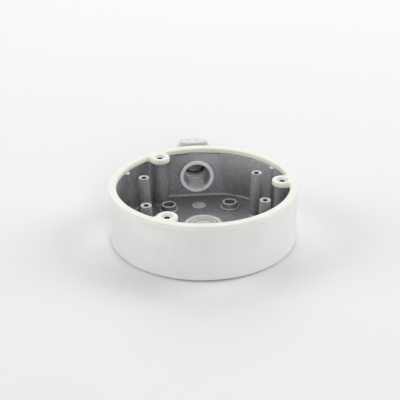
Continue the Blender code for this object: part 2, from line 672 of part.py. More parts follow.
def gland_body_bore():
    """Return the stepped bore of the gland body as a turned tool."""
    pocket = SEAL_POCKET_RADIUS
    bore = PORT_BORE_RADIUS
    ridge = bore - GLAND_RIDGE_HEIGHT
    profile = [(0.0, NECK_END_Y + OVERCUT), (pocket, NECK_END_Y + OVERCUT), (pocket, SEAL_POCKET_Y)]
    profile += [(bore, SEAL_POCKET_Y)]
    for count in range(1, GLAND_RIDGE_COUNT + 1):
        middle = SEAL_POCKET_Y - count * GLAND_RIDGE_PITCH
        profile += [(bore, middle + GLAND_RIDGE_WIDTH / 2), (ridge, middle + GLAND_RIDGE_WIDTH / 4)]
        profile += [(ridge, middle - GLAND_RIDGE_WIDTH / 4), (bore, middle - GLAND_RIDGE_WIDTH / 2)]
    profile += [(bore, SHANK_START_Y - OVERCUT), (0.0, SHANK_START_Y - OVERCUT)]
    return link_cutter(turned("gland_bore", profile, GLAND_STEPS))


def make_gland_body(material):
    """Build the gland body: shank in the housing, hexagonal collar, and neck for the nut."""
    chamfer = GLAND_THREAD_CHAMFER
    inside_collar_y = (COLLAR_START_Y + NECK_START_Y) / 2
    profile = [(0.0, NECK_END_Y), (GLAND_NECK_RADIUS - chamfer, NECK_END_Y)]
    profile += [(GLAND_NECK_RADIUS, NECK_END_Y - chamfer), (GLAND_NECK_RADIUS, inside_collar_y)]
    profile += [(GLAND_SHANK_RADIUS, inside_collar_y), (GLAND_SHANK_RADIUS, SHANK_START_Y + chamfer)]
    profile += [(GLAND_SHANK_RADIUS - chamfer, SHANK_START_Y), (0.0, SHANK_START_Y)]
    body = turned("gland_body", profile, GLAND_STEPS)
    along_port(body)
    link_part(body, material)

    flats = GLAND_COLLAR_ACROSS_FLATS
    collar = link_cutter(hexagon("collar_hexagon", flats, COLLAR_START_Y, NECK_START_Y))
    envelope = chamfered_envelope("collar_envelope", flats, COLLAR_START_Y, NECK_START_Y, NUT_CHAMFER)
    along_port(collar)
    along_port(envelope)
    cut(collar, envelope, "INTERSECT")
    cut(body, collar, "UNION")
    bore = gland_body_bore()
    along_port(bore)
    cut(body, bore)
    return body


def make_seal(material):
    """Build the rubber seal that the nut pushes into the gland body."""
    edge = SEAL_EDGE_RADIUS
    profile = [(SEAL_HOLE_RADIUS, SEAL_END_Y), (SEAL_FLANGE_RADIUS, SEAL_END_Y)]
    profile += [(SEAL_FLANGE_RADIUS, SEAL_FLANGE_Y), (SEAL_RADIUS, SEAL_FLANGE_Y)]
    profile += arc((SEAL_RADIUS - edge, SEAL_START_Y + edge), edge, 0.0, -pi / 2, SEAL_EDGE_STEPS)
    profile += [(SEAL_HOLE_RADIUS, SEAL_START_Y)]
    seal = turned("gland_seal", profile, GLAND_STEPS)
    along_port(seal)
    return link_part(seal, material)


def nut_grooves():
    """Return the shallow grip grooves on the six flats as one tool."""
    flat_width = NUT_ACROSS_FLATS / sqrt(3)
    spacing = flat_width / (NUT_GROOVES_PER_FLAT + 1)
    length = NUT_BAND_LENGTH + 2 * OVERCUT
    bm = bmesh.new()
    for side in range(6):
        for index in range(NUT_GROOVES_PER_FLAT):
            offset = (index - (NUT_GROOVES_PER_FLAT - 1) / 2) * spacing
            centre = (offset, NUT_ACROSS_FLATS / 2, (NUT_START_Y + NUT_BAND_END_Y) / 2)
            add_block(bm, (NUT_GROOVE_WIDTH, 2 * NUT_GROOVE_DEPTH, length), centre, radians(60) * side)
    return tool_mesh("grip_grooves", bm)


def nut_dome():
    """Return the turned dome beyond the nut's grip band."""
    foot = NUT_BAND_END_Y - OVERCUT
    straight_end = NUT_BAND_END_Y + NUT_DOME_STRAIGHT
    shoulder = NUT_BAND_END_Y + NUT_DOME_SHOULDER_LENGTH
    mouth = NUT_MOUTH_OUTER_RADIUS
    profile = [(0.0, NUT_END_Y), (mouth - NUT_MOUTH_CHAMFER, NUT_END_Y)]
    profile += [(mouth, NUT_END_Y - NUT_MOUTH_CHAMFER), (NUT_DOME_RADIUS - NUT_DOME_SHOULDER_DROP, shoulder)]
    profile += [(NUT_DOME_RADIUS, straight_end), (NUT_DOME_RADIUS, foot), (0.0, foot)]
    return link_cutter(turned("nut_dome", profile, GLAND_STEPS))


def nut_bore():
    """Return the stepped hollow of the nut: thread, seal pocket and mouth."""
    thread = GLAND_NECK_RADIUS + GAP
    pocket = SEAL_FLANGE_RADIUS + GAP
    outside = NUT_END_Y + OVERCUT
    inside = NUT_START_Y - OVERCUT
    thread_end = NECK_END_Y + SEAL_TRAVEL + GAP
    profile = [(0.0, outside), (NUT_MOUTH_RADIUS, outside), (NUT_MOUTH_RADIUS, NUT_LIP_Y)]
    profile += [(pocket, NUT_LIP_Y), (pocket, thread_end), (thread, thread_end)]
    profile += [(thread, inside), (0.0, inside)]
    return link_cutter(turned("nut_bore", profile, GLAND_STEPS))


def make_nut(material):
    """Build the domed gland nut with a hexagonal grip band."""
    nut = link_part(hexagon("gland_nut", NUT_ACROSS_FLATS, NUT_START_Y, NUT_BAND_END_Y), material)
    along_port(nut)
    envelope = chamfered_envelope("nut_envelope", NUT_ACROSS_FLATS, NUT_START_Y, NUT_BAND_END_Y, NUT_CHAMFER)
    steps = [(envelope, "INTERSECT"), (nut_grooves(), "DIFFERENCE")]
    steps += [(nut_dome(), "UNION"), (nut_bore(), "DIFFERENCE")]
    for tool, operation in steps:
        along_port(tool)
        cut(nut, tool, operation)
    return nut


def build():
    """Build every piece of the junction box."""
    white_paint = make_material("white_paint", (0.80, 0.80, 0.79), 0.45)
    ivory_rubber = make_material("ivory_rubber", (0.87, 0.87, 0.80), 0.6)
    white_nylon = make_material("white_nylon", (0.82, 0.82, 0.81), 0.4)
    nut_nylon = make_material("nut_nylon", (0.84, 0.84, 0.83), 0.4)
    dark_rubber = make_material("dark_rubber", (0.09, 0.08, 0.07), 0.7)
    grey_rubber = make_material("grey_rubber", (0.12, 0.12, 0.12), 0.7)
    black_rubber = make_material("black_rubber", (0.02, 0.02, 0.02), 0.6)
    cream_plastic = make_material("cream_plastic", (0.82, 0.81, 0.74), 0.45)
    make_housing(white_paint)
    make_gasket(ivory_rubber)
    make_gland_body(white_nylon)
    make_washer(grey_rubber)
    make_seal(dark_rubber)
    make_nut(nut_nylon)
    make_base_plug(cream_plastic)
    make_plug_ring(black_rubber)


clear_scene()
parts = new_collection("camera_junction_box")
cutters = new_collection("cutters")
build()
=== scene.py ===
"""Looks of the round camera junction box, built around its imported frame.

Every shape is drawn in millimetres in the frame's own axes and turned into metres when its piece is
finished. The box stands on Z = 0 with its axis on Z, and the cable port looks along +Y.
"""

import logging
from collections.abc import Callable, Iterable
from dataclasses import dataclass
from enum import Enum
from math import acos, asin, atan2, cos, degrees, hypot, pi, radians, sin, sqrt

import bmesh
import bpy
from mathutils import Matrix, Vector


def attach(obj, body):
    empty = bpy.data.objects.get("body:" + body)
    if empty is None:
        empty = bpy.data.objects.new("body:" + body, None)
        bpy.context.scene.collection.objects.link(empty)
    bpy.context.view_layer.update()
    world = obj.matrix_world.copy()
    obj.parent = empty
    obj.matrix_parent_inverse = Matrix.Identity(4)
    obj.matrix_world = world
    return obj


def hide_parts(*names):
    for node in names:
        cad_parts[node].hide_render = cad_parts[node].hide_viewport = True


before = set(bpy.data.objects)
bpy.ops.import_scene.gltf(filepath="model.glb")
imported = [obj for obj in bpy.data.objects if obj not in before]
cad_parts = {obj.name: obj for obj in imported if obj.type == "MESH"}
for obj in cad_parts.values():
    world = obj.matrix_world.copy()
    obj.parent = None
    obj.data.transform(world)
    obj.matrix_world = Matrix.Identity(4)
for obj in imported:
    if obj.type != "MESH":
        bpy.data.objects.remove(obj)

Pair = tuple[float, float]
Point = tuple[float, float, float]
Colour = tuple[float, float, float]
Ring = list[Point]
Socket = bpy.types.NodeSocket

LOG = logging.getLogger("junction_box")
METRES = 0.001  # metres in a millimetre
MERGE = 0.002  # points closer than this become one
NEAR = 0.1  # how far beyond a size the mean place of a face on it may lie
PAST = 2.0  # how far a cutting tool reaches past the face that it opens
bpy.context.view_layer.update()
EAR_CIRCLE = 57.2
EAR_AZIMUTHS = (0.0, 120.0, 240.0)
PORT_AXIS_Z = 19.9
ON_PORT = Matrix.Translation((0.0, 0.0, PORT_AXIS_Z)) @ Matrix.Rotation(radians(-90), 4, "X")


class Join(Enum):
    """How a tool meets a solid."""

    ADD = "UNION"
    CUT = "DIFFERENCE"
    KEEP = "INTERSECT"


class Combine(Enum):
    """How two values of a material become one."""

    PRODUCT = "MULTIPLY"
    LARGER = "MAXIMUM"


class HousingFace(Enum):
    """Surface of the casting that a face belongs to, as its material index."""

    COAT = 0
    CAST = 1
    MILLED = 2
    DUSTED = 3
    # Painted light on the bore's lower strip.
    PAINTED_LIGHT_BORE = 4
    # Worn metal, and painted highlight on the boss rims and flange edges.
    WORN_AND_LIT = 5
    # Painted shade inside the screw holes.
    PAINTED_SHADE_HOLE = 6
    POST = 7


class GasketFace(Enum):
    """Part of the rim gasket that a face belongs to, as its material index."""

    TOP = 0
    # Inner side, with painted light and a painted yellow shade tint.
    PAINTED_SIDE = 1


class SealFace(Enum):
    """Part of the gland's seal that a face belongs to, as its material index."""

    BODY = 0
    # Outer nose, painted near black as the pocket's shade.
    PAINTED_SHADE_NOSE = 1


def mean(values: Iterable[float]) -> float:
    """Give the mean of some numbers."""
    numbers = list(values)
    return sum(numbers) / len(numbers)


def arc(centre: Pair, radius: float, start: float, end: float, count: int) -> list[Pair]:
    """Give the points of an arc, both ends included.

    Args:
        centre: Middle of the circle.
        radius: Radius of the circle.
        start: First angle in degrees.
        end: Last angle in degrees.
        count: Number of steps.

    Returns:
        The points in order.
    """
    angles = [radians(start + (end - start) * i / count) for i in range(count + 1)]
    return [(centre[0] + radius * cos(a), centre[1] + radius * sin(a)) for a in angles]


def line(start: Pair, end: Pair, count: int) -> list[Pair]:
    """Give evenly spaced points from start to end, both included.

    Args:
        start: First point.
        end: Last point.
        count: Number of steps.

    Returns:
        The points in order.
    """
    (x, y), (far_x, far_y) = start, end
    shares = [i / count for i in range(count + 1)]
    return [(x + (far_x - x) * t, y + (far_y - y) * t) for t in shares]


def turned_about(points: list[Pair], angle: float) -> list[Pair]:
    """Turn points about the origin by an angle in degrees."""
    c, s = cos(radians(angle)), sin(radians(angle))
    return [(c * x - s * y, s * x + c * y) for x, y in points]


def mirrored(place: Pair) -> list[Pair]:
    """Give a place's four mirror images about both axes."""
    return [(x, y) for x in (-place[0], place[0]) for y in (-place[1], place[1])]


def ear_places() -> list[Pair]:
    """Give the axes of the three ear screws."""
    return [turned_about([(EAR_CIRCLE, 0.0)], azimuth)[0] for azimuth in EAR_AZIMUTHS]


class Spot:
    """Mean place of a face, worked out from its corners in millimetres."""

    def __init__(self, corners: list[Vector]) -> None:
        """Keep the corners and work out their mean place.

        Args:
            corners: Corners of the face.
        """
        self.corners = corners
        self.x, self.y, self.z = (mean(c[axis] for c in corners) for axis in range(3))
        self.radius = self.off((0.0, 0.0))
        self.off_port = mean(hypot(c.x, c.z - PORT_AXIS_Z) for c in corners)

    def off(self, place: Pair) -> float:
        """Give the mean distance from an upright axis."""
        return mean(hypot(c.x - place[0], c.y - place[1]) for c in self.corners)

    def off_mirrored(self, place: Pair) -> float:
        """Give the mean distance from the nearest of an upright axis and its mirror images."""
        return mean(hypot(abs(c.x) - place[0], abs(c.y) - place[1]) for c in self.corners)

    def off_ear_screw(self) -> float:
        """Give the mean distance from the axis of the nearest ear screw."""
        return min(self.off(place) for place in ear_places())


def fillet_curve(shaft: Pair, foot: Pair, count: int) -> list[Pair]:
    """Give a hollow quarter curve from an upright shaft to a flat foot.

    Args:
        shaft: Radius and height where the curve leaves the shaft.
        foot: Radius and height where it meets the floor.
        count: Number of steps.

    Returns:
        The points of radius and height.
    """
    wide, drop = foot[0] - shaft[0], shaft[1] - foot[1]
    angles = [pi / 2 * i / count for i in range(count + 1)]
    return [(shaft[0] + wide * (1 - cos(a)), shaft[1] - drop * sin(a)) for a in angles]


def rounded_edge(corner: Pair, radius: float, start: float, count: int = 4) -> list[Pair]:
    """Give the quarter round of an outer corner in a turned profile.

    Args:
        corner: Radius and height of the sharp corner.
        radius: Radius of the round.
        start: Angle in degrees at which it starts: 90 for a top edge, 0 for a bottom edge.
        count: Number of steps.

    Returns:
        The points of radius and height, downwards.
    """
    side = 1.0 if start > 45 else -1.0
    centre = (corner[0] - radius, corner[1] - side * radius)
    return arc(centre, radius, start, start - 90, count)


def skin(rings: list[Ring], loop: bool) -> bmesh.types.BMesh:
    """Join rings of equal counts with faces.

    Args:
        rings: Rings of points, in order.
        loop: True to join the last ring to the first, False to close both ends flat.

    Returns:
        The mesh under construction.
    """
    bm = bmesh.new()
    rows = [[bm.verts.new(point) for point in ring] for ring in rings]
    count = len(rows[0])
    pairs = list(zip(rows, rows[1:])) + ([(rows[-1], rows[0])] if loop else [])
    for upper, lower in pairs:
        for i in range(count):
            j = (i + 1) % count
            bm.faces.new((upper[i], upper[j], lower[j], lower[i]))
    if not loop:
        bm.faces.new(rows[0])
        bm.faces.new(rows[-1])
    return bm


def weld(bm: bmesh.types.BMesh, speck: float = MERGE / 10) -> None:
    """Merge points that lie together and drop faces smaller than a speck."""
    bmesh.ops.remove_doubles(bm, verts=bm.verts, dist=MERGE)
    bmesh.ops.dissolve_degenerate(bm, edges=bm.edges, dist=speck)


def put_in_scene(name: str, data: bpy.types.ID) -> bpy.types.Object:
    """Make an object of a mesh, lamp or camera and put it in the scene.

    Args:
        name: Name of the object.
        data: Mesh, lamp or camera that it shows.

    Returns:
        The object.
    """
    item = bpy.data.objects.new(name, data)
    bpy.context.scene.collection.objects.link(item)
    return item


def combined(tree: bpy.types.NodeTree, how: Combine, first: Socket, second: Socket) -> Socket:
    """Combine two values of a material or of the world.

    Args:
        tree: Nodes of the material or of the world.
        how: Kind of combination.
        first: First value.
        second: Second value.

    Returns:
        The result.
    """
    node = tree.nodes.new("ShaderNodeMath")
    node.operation = how.value
    tree.links.new(first, node.inputs[0])
    tree.links.new(second, node.inputs[1])
    return node.outputs["Value"]


class Graph:
    """A material's nodes around its Principled shader."""

    def __init__(self, name: str, roughness: float, metallic: float = 0.0) -> None:
        """Start a material.

        Args:
            name: Name of the material.
            roughness: Roughness where nothing is linked.
            metallic: Metallic share of the shader.
        """
        self.material = bpy.data.materials.new(name)
        self.material.use_nodes = True
        self.tree = self.material.node_tree
        self.nodes, self.links = self.tree.nodes, self.tree.links
        self.shader = self.nodes["Principled BSDF"]
        self.shader.inputs["Roughness"].default_value = roughness
        self.shader.inputs["Metallic"].default_value = metallic
        self.place = self.nodes.new("ShaderNodeTexCoord").outputs["Object"]

    def stretched(self, scale: Point) -> Socket:
        """Give the object coordinates scaled along each axis.

        Args:
            scale: Factor along X, Y and Z.

        Returns:
            The scaled coordinates.
        """
        mapping = self.nodes.new("ShaderNodeMapping")
        mapping.inputs["Scale"].default_value = scale
        self.links.new(self.place, mapping.inputs["Vector"])
        return mapping.outputs["Vector"]

    def axes(self) -> tuple[Socket, Socket, Socket]:
        """Give X, Y and Z of the object coordinates, in metres.

        Returns:
            The three values.
        """
        split = self.nodes.new("ShaderNodeSeparateXYZ")
        self.links.new(self.place, split.inputs["Vector"])
        return split.outputs["X"], split.outputs["Y"], split.outputs["Z"]

    def length(self, vector: Socket) -> Socket:
        """Give the length of a vector.

        Args:
            vector: Vector to measure.

        Returns:
            Its length.
        """
        node = self.nodes.new("ShaderNodeVectorMath")
        node.operation = "LENGTH"
        self.links.new(vector, node.inputs[0])
        return node.outputs["Value"]

    def noise(self, grain: float, detail: float = 4.0, contrast: float = 0.5,
              place: Socket | None = None) -> Socket:
        """Add a noise.

        Args:
            grain: Size of its patches in millimetres.
            detail: Number of finer layers.
            contrast: Strength of the finer layers.
            place: Coordinates, or None for the object's own.

        Returns:
            The value between 0 and 1.
        """
        node = self.nodes.new("ShaderNodeTexNoise")
        node.inputs["Scale"].default_value = 1.0 / (grain * METRES)
        node.inputs["Detail"].default_value = detail
        node.inputs["Roughness"].default_value = contrast
        self.links.new(place or self.place, node.inputs["Vector"])
        return node.outputs["Fac"]

    def ramp(self, value: Socket, stops: list[tuple[float, Colour]]) -> Socket:
        """Turn a value into a colour.

        Args:
            value: Value between 0 and 1.
            stops: Place and linear colour of each stop.

        Returns:
            The colour.
        """
        node = self.nodes.new("ShaderNodeValToRGB")
        elements = node.color_ramp.elements
        while len(elements) < len(stops):
            elements.new(0.5)
        for element, (place, colour) in zip(elements, stops):
            element.position = place
            element.color = (*colour, 1.0)
        self.links.new(value, node.inputs["Fac"])
        return node.outputs["Color"]

    def spread(self, value: Socket, low: float, high: float, ends: Pair = (0.3, 0.7)) -> Socket:
        """Map a value to a range.

        Args:
            value: Value to map.
            low: Result at the lower end of the value.
            high: Result at its upper end.
            ends: Lower and upper end of the value.

        Returns:
            The mapped value.
        """
        node = self.nodes.new("ShaderNodeMapRange")
        for name, number in zip(("From Min", "From Max", "To Min", "To Max"), (*ends, low, high)):
            node.inputs[name].default_value = number
        self.links.new(value, node.inputs["Value"])
        return node.outputs["Result"]

    def leaned(self, first: Socket, slope: float, second: Socket) -> Socket:
        """Give slope times the first value plus the second.

        Args:
            first: Value that is multiplied.
            slope: Factor of the first value.
            second: Value that is added.

        Returns:
            The sum.
        """
        node = self.nodes.new("ShaderNodeMath")
        node.operation = "MULTIPLY_ADD"
        self.links.new(first, node.inputs[0])
        node.inputs[1].default_value = slope
        self.links.new(second, node.inputs[2])
        return node.outputs["Value"]

    def mix(self, share: Socket, first: Socket, second: Socket) -> Socket:
        """Mix two colours.

        Args:
            share: Share of the second.
            first: First colour.
            second: Second colour.

        Returns:
            The mixed colour.
        """
        node = self.nodes.new("ShaderNodeMix")
        node.data_type = "RGBA"
        self.links.new(share, node.inputs[0])
        self.links.new(first, node.inputs[6])
        self.links.new(second, node.inputs[7])
        return node.outputs[2]

    def emboss(self, heights: list[tuple[Socket, float]]) -> None:
        """Chain bumps into the shader.

        Args:
            heights: Height value and depth in millimetres of each bump.
        """
        normal = None
        for height, depth in heights:
            node = self.nodes.new("ShaderNodeBump")
            node.inputs["Strength"].default_value = 1.0
            node.inputs["Distance"].default_value = depth * METRES
            self.links.new(height, node.inputs["Height"])
            if normal:
                self.links.new(normal, node.inputs["Normal"])
            normal = node.outputs["Normal"]
        self.feed("Normal", normal)

    def feed(self, name: str, value: Socket) -> None:
        """Link a value to a socket of the shader."""
        self.links.new(value, self.shader.inputs[name])


@dataclass(frozen=True)
class Finish:
    """What every finish has: its light and dark tone, its gloss and how far the gloss varies."""

    name: str
    colour: Colour
    shade: Colour
    roughness: float
    metallic: float = 0.0
    swing: Pair = (0.08, 0.12)

    def vary_gloss(self, graph: Graph, value: Socket) -> None:
        """Let the roughness vary with a value."""
        low, high = self.roughness - self.swing[0], self.roughness + self.swing[1]
        graph.feed("Roughness", graph.spread(value, low, high))

    def build(self) -> bpy.types.Material:
        """Make the material, which each kind of finish does in its own way."""
        raise NotImplementedError


@dataclass(frozen=True)
class CloudedFinish(Finish):
    """A clouded colour with patchy gloss and fine bumps, which each such finish sets for itself.

    A noise is written as its size in millimetres and number of finer layers, and a bump as a noise
    with its depth in millimetres.
    """

    cloud: Pair = (9.0, 4.0)
    stops: Pair = (0.3, 0.66)
    patches: Pair = (1.8, 4.0)
    bumps: tuple[Point, ...] = ((0.5, 2.0, 0.008), (4.0, 2.0, 0.02))
    specular: float = 0.5
    glow: float = 0.0
    glow_reach: Point = (0.002, 0.002, 0.0018)

    def build(self) -> bpy.types.Material:
        """Make the material.

        Returns:
            The material.
        """
        graph = Graph(self.name, self.roughness, self.metallic)
        colours = zip(self.stops, (self.shade, self.colour))
        graph.feed("Base Color", graph.ramp(graph.noise(*self.cloud), list(colours)))
        self.vary_gloss(graph, graph.noise(*self.patches))
        graph.emboss([(graph.noise(size, detail), depth) for size, detail, depth in self.bumps])
        graph.shader.inputs["Specular IOR Level"].default_value = self.specular
        graph.shader.inputs["Subsurface Weight"].default_value = self.glow
        graph.shader.inputs["Subsurface Radius"].default_value = self.glow_reach
        return graph.material


@dataclass(frozen=True)
class PowderCoat(CloudedFinish):
    """Thin white powder coat with a faint orange peel."""

    name: str = "powder_coat"
    colour: Colour = (0.80, 0.80, 0.79)
    shade: Colour = (0.76, 0.76, 0.75)
    roughness: float = 0.42
    cloud: Pair = (24.0, 3.0)
    stops: Pair = (0.35, 0.62)
    patches: Pair = (5.0, 4.0)
    swing: Pair = (0.05, 0.07)
    bumps: tuple[Point, ...] = ((1.1, 2.0, 0.018), (0.3, 2.0, 0.004))
    specular: float = 0.45


@dataclass(frozen=True)
class MilledMetal(CloudedFinish):
    """Machined faces of the casting, lighter and finer than its skin."""

    name: str = "milled_metal"
    colour: Colour = (0.54, 0.55, 0.57)
    shade: Colour = (0.42, 0.43, 0.45)
    roughness: float = 0.5
    metallic: float = 0.2
    cloud: Pair = (3.0, 4.0)
    stops: Pair = (0.3, 0.65)
    patches: Pair = (0.5, 3.0)
    swing: Pair = (0.07, 0.10)
    bumps: tuple[Point, ...] = ((0.5, 3.0, 0.012),)


@dataclass(frozen=True)
class DustedMetal(CloudedFinish):
    """Machined metal under a thin stray dusting of white powder."""

    name: str = "dusted_metal"
    colour: Colour = (0.95, 0.95, 0.98)
    shade: Colour = (0.86, 0.86, 0.90)
    roughness: float = 0.5
    metallic: float = 0.08
    cloud: Pair = (4.0, 4.0)
    patches: Pair = (0.8, 3.0)
    bumps: tuple[Point, ...] = ((0.8, 3.0, 0.02),)


@dataclass(frozen=True)
class Rubber(CloudedFinish):
    """Moulded rubber with a fine matt skin."""

    roughness: float = 0.62
    swing: Pair = (0.08, 0.08)
    cloud: Pair = (14.0, 4.0)
    stops: Pair = (0.32, 0.64)
    patches: Pair = (2.5, 4.0)
    bumps: tuple[Point, ...] = ((0.35, 2.0, 0.012), (6.0, 2.0, 0.03))
    specular: float = 0.35
    glow_reach: Point = (0.003, 0.003, 0.0022)


@dataclass(frozen=True)
class MouldedPlastic(CloudedFinish):
    """Moulded nylon or similar with a soft gloss."""

    roughness: float = 0.38
    swing: Pair = (0.06, 0.08)
    glow: float = 0.06


@dataclass(frozen=True)
class CastMetal(Finish):
    """Bare die-cast aluminium: sandy skin and flow marks, painted shade that darkens its foot, and
    a lighter layer of stray powder and painted light.

    The lighter layer is stray powder and painted light on the walls that catch the light. It
    thickens with height and towards the back, and also on the far left. On the posts near the box's
    axis it is at least half as thick. Its ranges are in metres.
    """

    name: str = "cast_metal"
    colour: Colour = (0.49, 0.49, 0.51)
    shade: Colour = (0.17, 0.165, 0.18)
    roughness: float = 0.5
    metallic: float = 0.6
    middle: Colour = (0.305, 0.30, 0.315)
    # Darkest tone of the painted shade at the cavity's foot.
    painted_shade_deep: Colour = (0.06, 0.056, 0.064)
    # Light tone of stray powder and painted light on the upper and back walls.
    dust_and_light_colour: Colour = (0.76, 0.77, 0.80)
    most: float = 0.85
    level_lean: float = 0.10
    back_lean: float = 0.75
    post_share: float = 0.5
    # Ranges of the stray powder and painted light.
    dust_and_light_height: Pair = (0.016, 0.038)
    dust_and_light_back: Pair = (0.044, 0.084)
    dust_and_light_left: Pair = (-0.0625, -0.057)
    dust_and_light_posts: Pair = (0.0515, 0.053)
    # Heights over which the painted shade at the foot fades out.
    painted_shade_foot: Pair = (0.002, 0.014)

    def speckles(self, graph: Graph, value: Socket, stops: Point) -> Socket:
        """Colour the metal from dark to light by a noise, with three stops."""
        return graph.ramp(value, list(zip(stops, (self.shade, self.middle, self.colour))))

    def dust_and_painted_light(self, graph: Graph, level: Socket) -> Socket:
        """Give the share of the lighter layer on the metal: stray powder and painted light.

        Args:
            graph: Nodes of the metal.
            level: Height of a point, which leans a little with X.

        Returns:
            The share of powder and painted light between 0 and 1.
        """
        x, y, _ = graph.axes()
        back = graph.spread(graph.leaned(x, self.back_lean, y), 0.0, 1.0, self.dust_and_light_back)
        left = graph.spread(x, 1.0, 0.0, self.dust_and_light_left)
        off_axis = graph.length(graph.stretched((1.0, 1.0, 0.0)))
        posts = graph.spread(off_axis, self.post_share, 0.0, self.dust_and_light_posts)
        place = combined(graph.tree, Combine.LARGER, back, left)
        place = combined(graph.tree, Combine.LARGER, place, posts)
        height = graph.spread(level, 0.0, self.most, self.dust_and_light_height)
        return combined(graph.tree, Combine.PRODUCT, height, place)

    def build(self) -> bpy.types.Material:
        """Make the material.

        Returns:
            The material.
        """
        graph = Graph(self.name, self.roughness, self.metallic)
        sand = graph.noise(1.1, 3.0, 0.6)
        flow = graph.noise(6.0, 6.0, 0.72, graph.stretched((1.0, 1.0, 0.55)))
        half = graph.spread(graph.noise(30.0, 2.0), 0.15, 0.45)
        metal = graph.mix(half, self.speckles(graph, sand, (0.28, 0.5, 0.74)),
                          self.speckles(graph, flow, (0.34, 0.52, 0.72)))
        x, _, z = graph.axes()
        level = graph.leaned(x, self.level_lean, z)
        # Painted shade: the metal turns darker towards the floor, more so on the left where the
        # level leans lower.
        foot = graph.ramp(sand, [(0.22, self.painted_shade_deep), (0.8, self.middle)])
        metal = graph.mix(graph.spread(level, self.most, 0.0, self.painted_shade_foot), metal, foot)
        # Stray powder and painted light make the upper and back walls lighter.
        dust_and_light_tone = graph.ramp(sand, [(0.3, self.colour), (0.7, self.dust_and_light_colour)])
        graph.feed("Base Color", graph.mix(self.dust_and_painted_light(graph, level), metal, dust_and_light_tone))
        self.vary_gloss(graph, sand)
        graph.emboss([(flow, 0.05), (sand, 0.06), (graph.noise(0.3, 2.0), 0.012)])
        return graph.material


class Solid:
    """A closed shape in millimetres that tools are joined to or cut from."""

    def __init__(self, name: str, bm: bmesh.types.BMesh) -> None:
        """Clean the mesh under construction and keep it as an object.

        Args:
            name: Name of the object.
            bm: Mesh under construction, which is freed.
        """
        weld(bm)
        bmesh.ops.recalc_face_normals(bm, faces=bm.faces)
        mesh = bpy.data.meshes.new(name)
        bm.to_mesh(mesh)
        bm.free()
        self.item = put_in_scene(name, mesh)

    @classmethod
    def turned(cls, name: str, profile: list[Pair], steps: int, at: Pair = (0.0, 0.0),
               loop: bool = False) -> "Solid":
        """Turn a profile about an upright axis.

        Args:
            name: Name of the solid.
            profile: Points of radius and height, from one end to the other.
            steps: Number of steps round the axis.
            at: Place of the axis.
            loop: True for a closed section, as of a ring.

        Returns:
            The solid.
        """
        angles = [2 * pi * i / steps for i in range(steps)]
        rings = [[(at[0] + r * cos(a), at[1] + r * sin(a), z) for a in angles] for r, z in profile]
        return cls(name, skin(rings, loop))

    @classmethod
    def prism(cls, name: str, outline: list[Pair], levels: Pair) -> "Solid":
        """Raise an upright bar on a flat outline between two heights, the upper one first."""
        return cls(name, skin([[(x, y, z) for x, y in outline] for z in levels], False))

    @classmethod
    def block(cls, name: str, low: Pair, high: Pair, levels: Pair) -> "Solid":
        """Raise a block on a rectangle, from its lowest to its highest X and Y."""
        return cls.prism(name, [low, (high[0], low[1]), high, (low[0], high[1])], levels)

    @classmethod
    def group(cls, name: str, solids: list["Solid"]) -> "Solid":
        """Take several solids that don't touch into one, and use them up.

        Args:
            name: Name of the group.
            solids: Solids, which are used up.

        Returns:
            The group.
        """
        bm = bmesh.new()
        for solid in solids:
            bm.from_mesh(solid.item.data)
            solid.discard()
        return cls(name, bm)

    def discard(self) -> None:
        """Remove the solid from the file."""
        bpy.data.objects.remove(self.item, do_unlink=True)

    def move(self, place: Matrix) -> "Solid":
        """Move the mesh itself by a matrix in millimetres, and give the same solid."""
        self.item.data.transform(place)
        return self

    def meet(self, tool: "Solid", how: Join) -> "Solid":
        """Combine with a tool, which is used up.

        Args:
            tool: Other solid.
            how: Kind of combination.

        Returns:
            The same solid.
        """
        modifier = self.item.modifiers.new("meet", "BOOLEAN")
        modifier.operation = how.value
        modifier.solver = "EXACT"
        modifier.object = tool.item
        evaluated = self.item.evaluated_get(bpy.context.evaluated_depsgraph_get())
        mesh, old = bpy.data.meshes.new_from_object(evaluated), self.item.data
        self.item.modifiers.clear()
        self.item.data = mesh
        bpy.data.meshes.remove(old)
        tool.discard()
        return self

    def as_piece(self, name: str, finishes: Iterable[Finish], sharp: float = 32.0,
                 rule: Callable[[Spot], Enum] | None = None) -> bpy.types.Object:
        """Weld, scale to metres, smooth and dress the solid.

        Args:
            name: Name of the piece.
            finishes: Finishes in slot order.
            sharp: Angle in degrees above which an edge stays sharp.
            rule: Tells the finish of a face from its place, or None for the first finish.

        Returns:
            The finished piece.
        """
        mesh = self.item.data
        bm = bmesh.new()
        bm.from_mesh(mesh)
        weld(bm)
        bm.to_mesh(mesh)
        bm.free()
        mesh.materials.clear()
        for finish in finishes:
            mesh.materials.append(finish.build())
        for polygon in mesh.polygons:
            corners = [mesh.vertices[index].co for index in polygon.vertices]
            polygon.material_index = rule(Spot(corners)).value if rule else 0
        mesh.transform(Matrix.Scale(METRES, 4))
        mesh.shade_smooth()
        mesh.set_sharp_from_angle(angle=radians(sharp))
        self.item.name = mesh.name = name
        self.item.modifiers.new("flat_faces_first", "WEIGHTED_NORMAL").keep_sharp = True
        return self.item


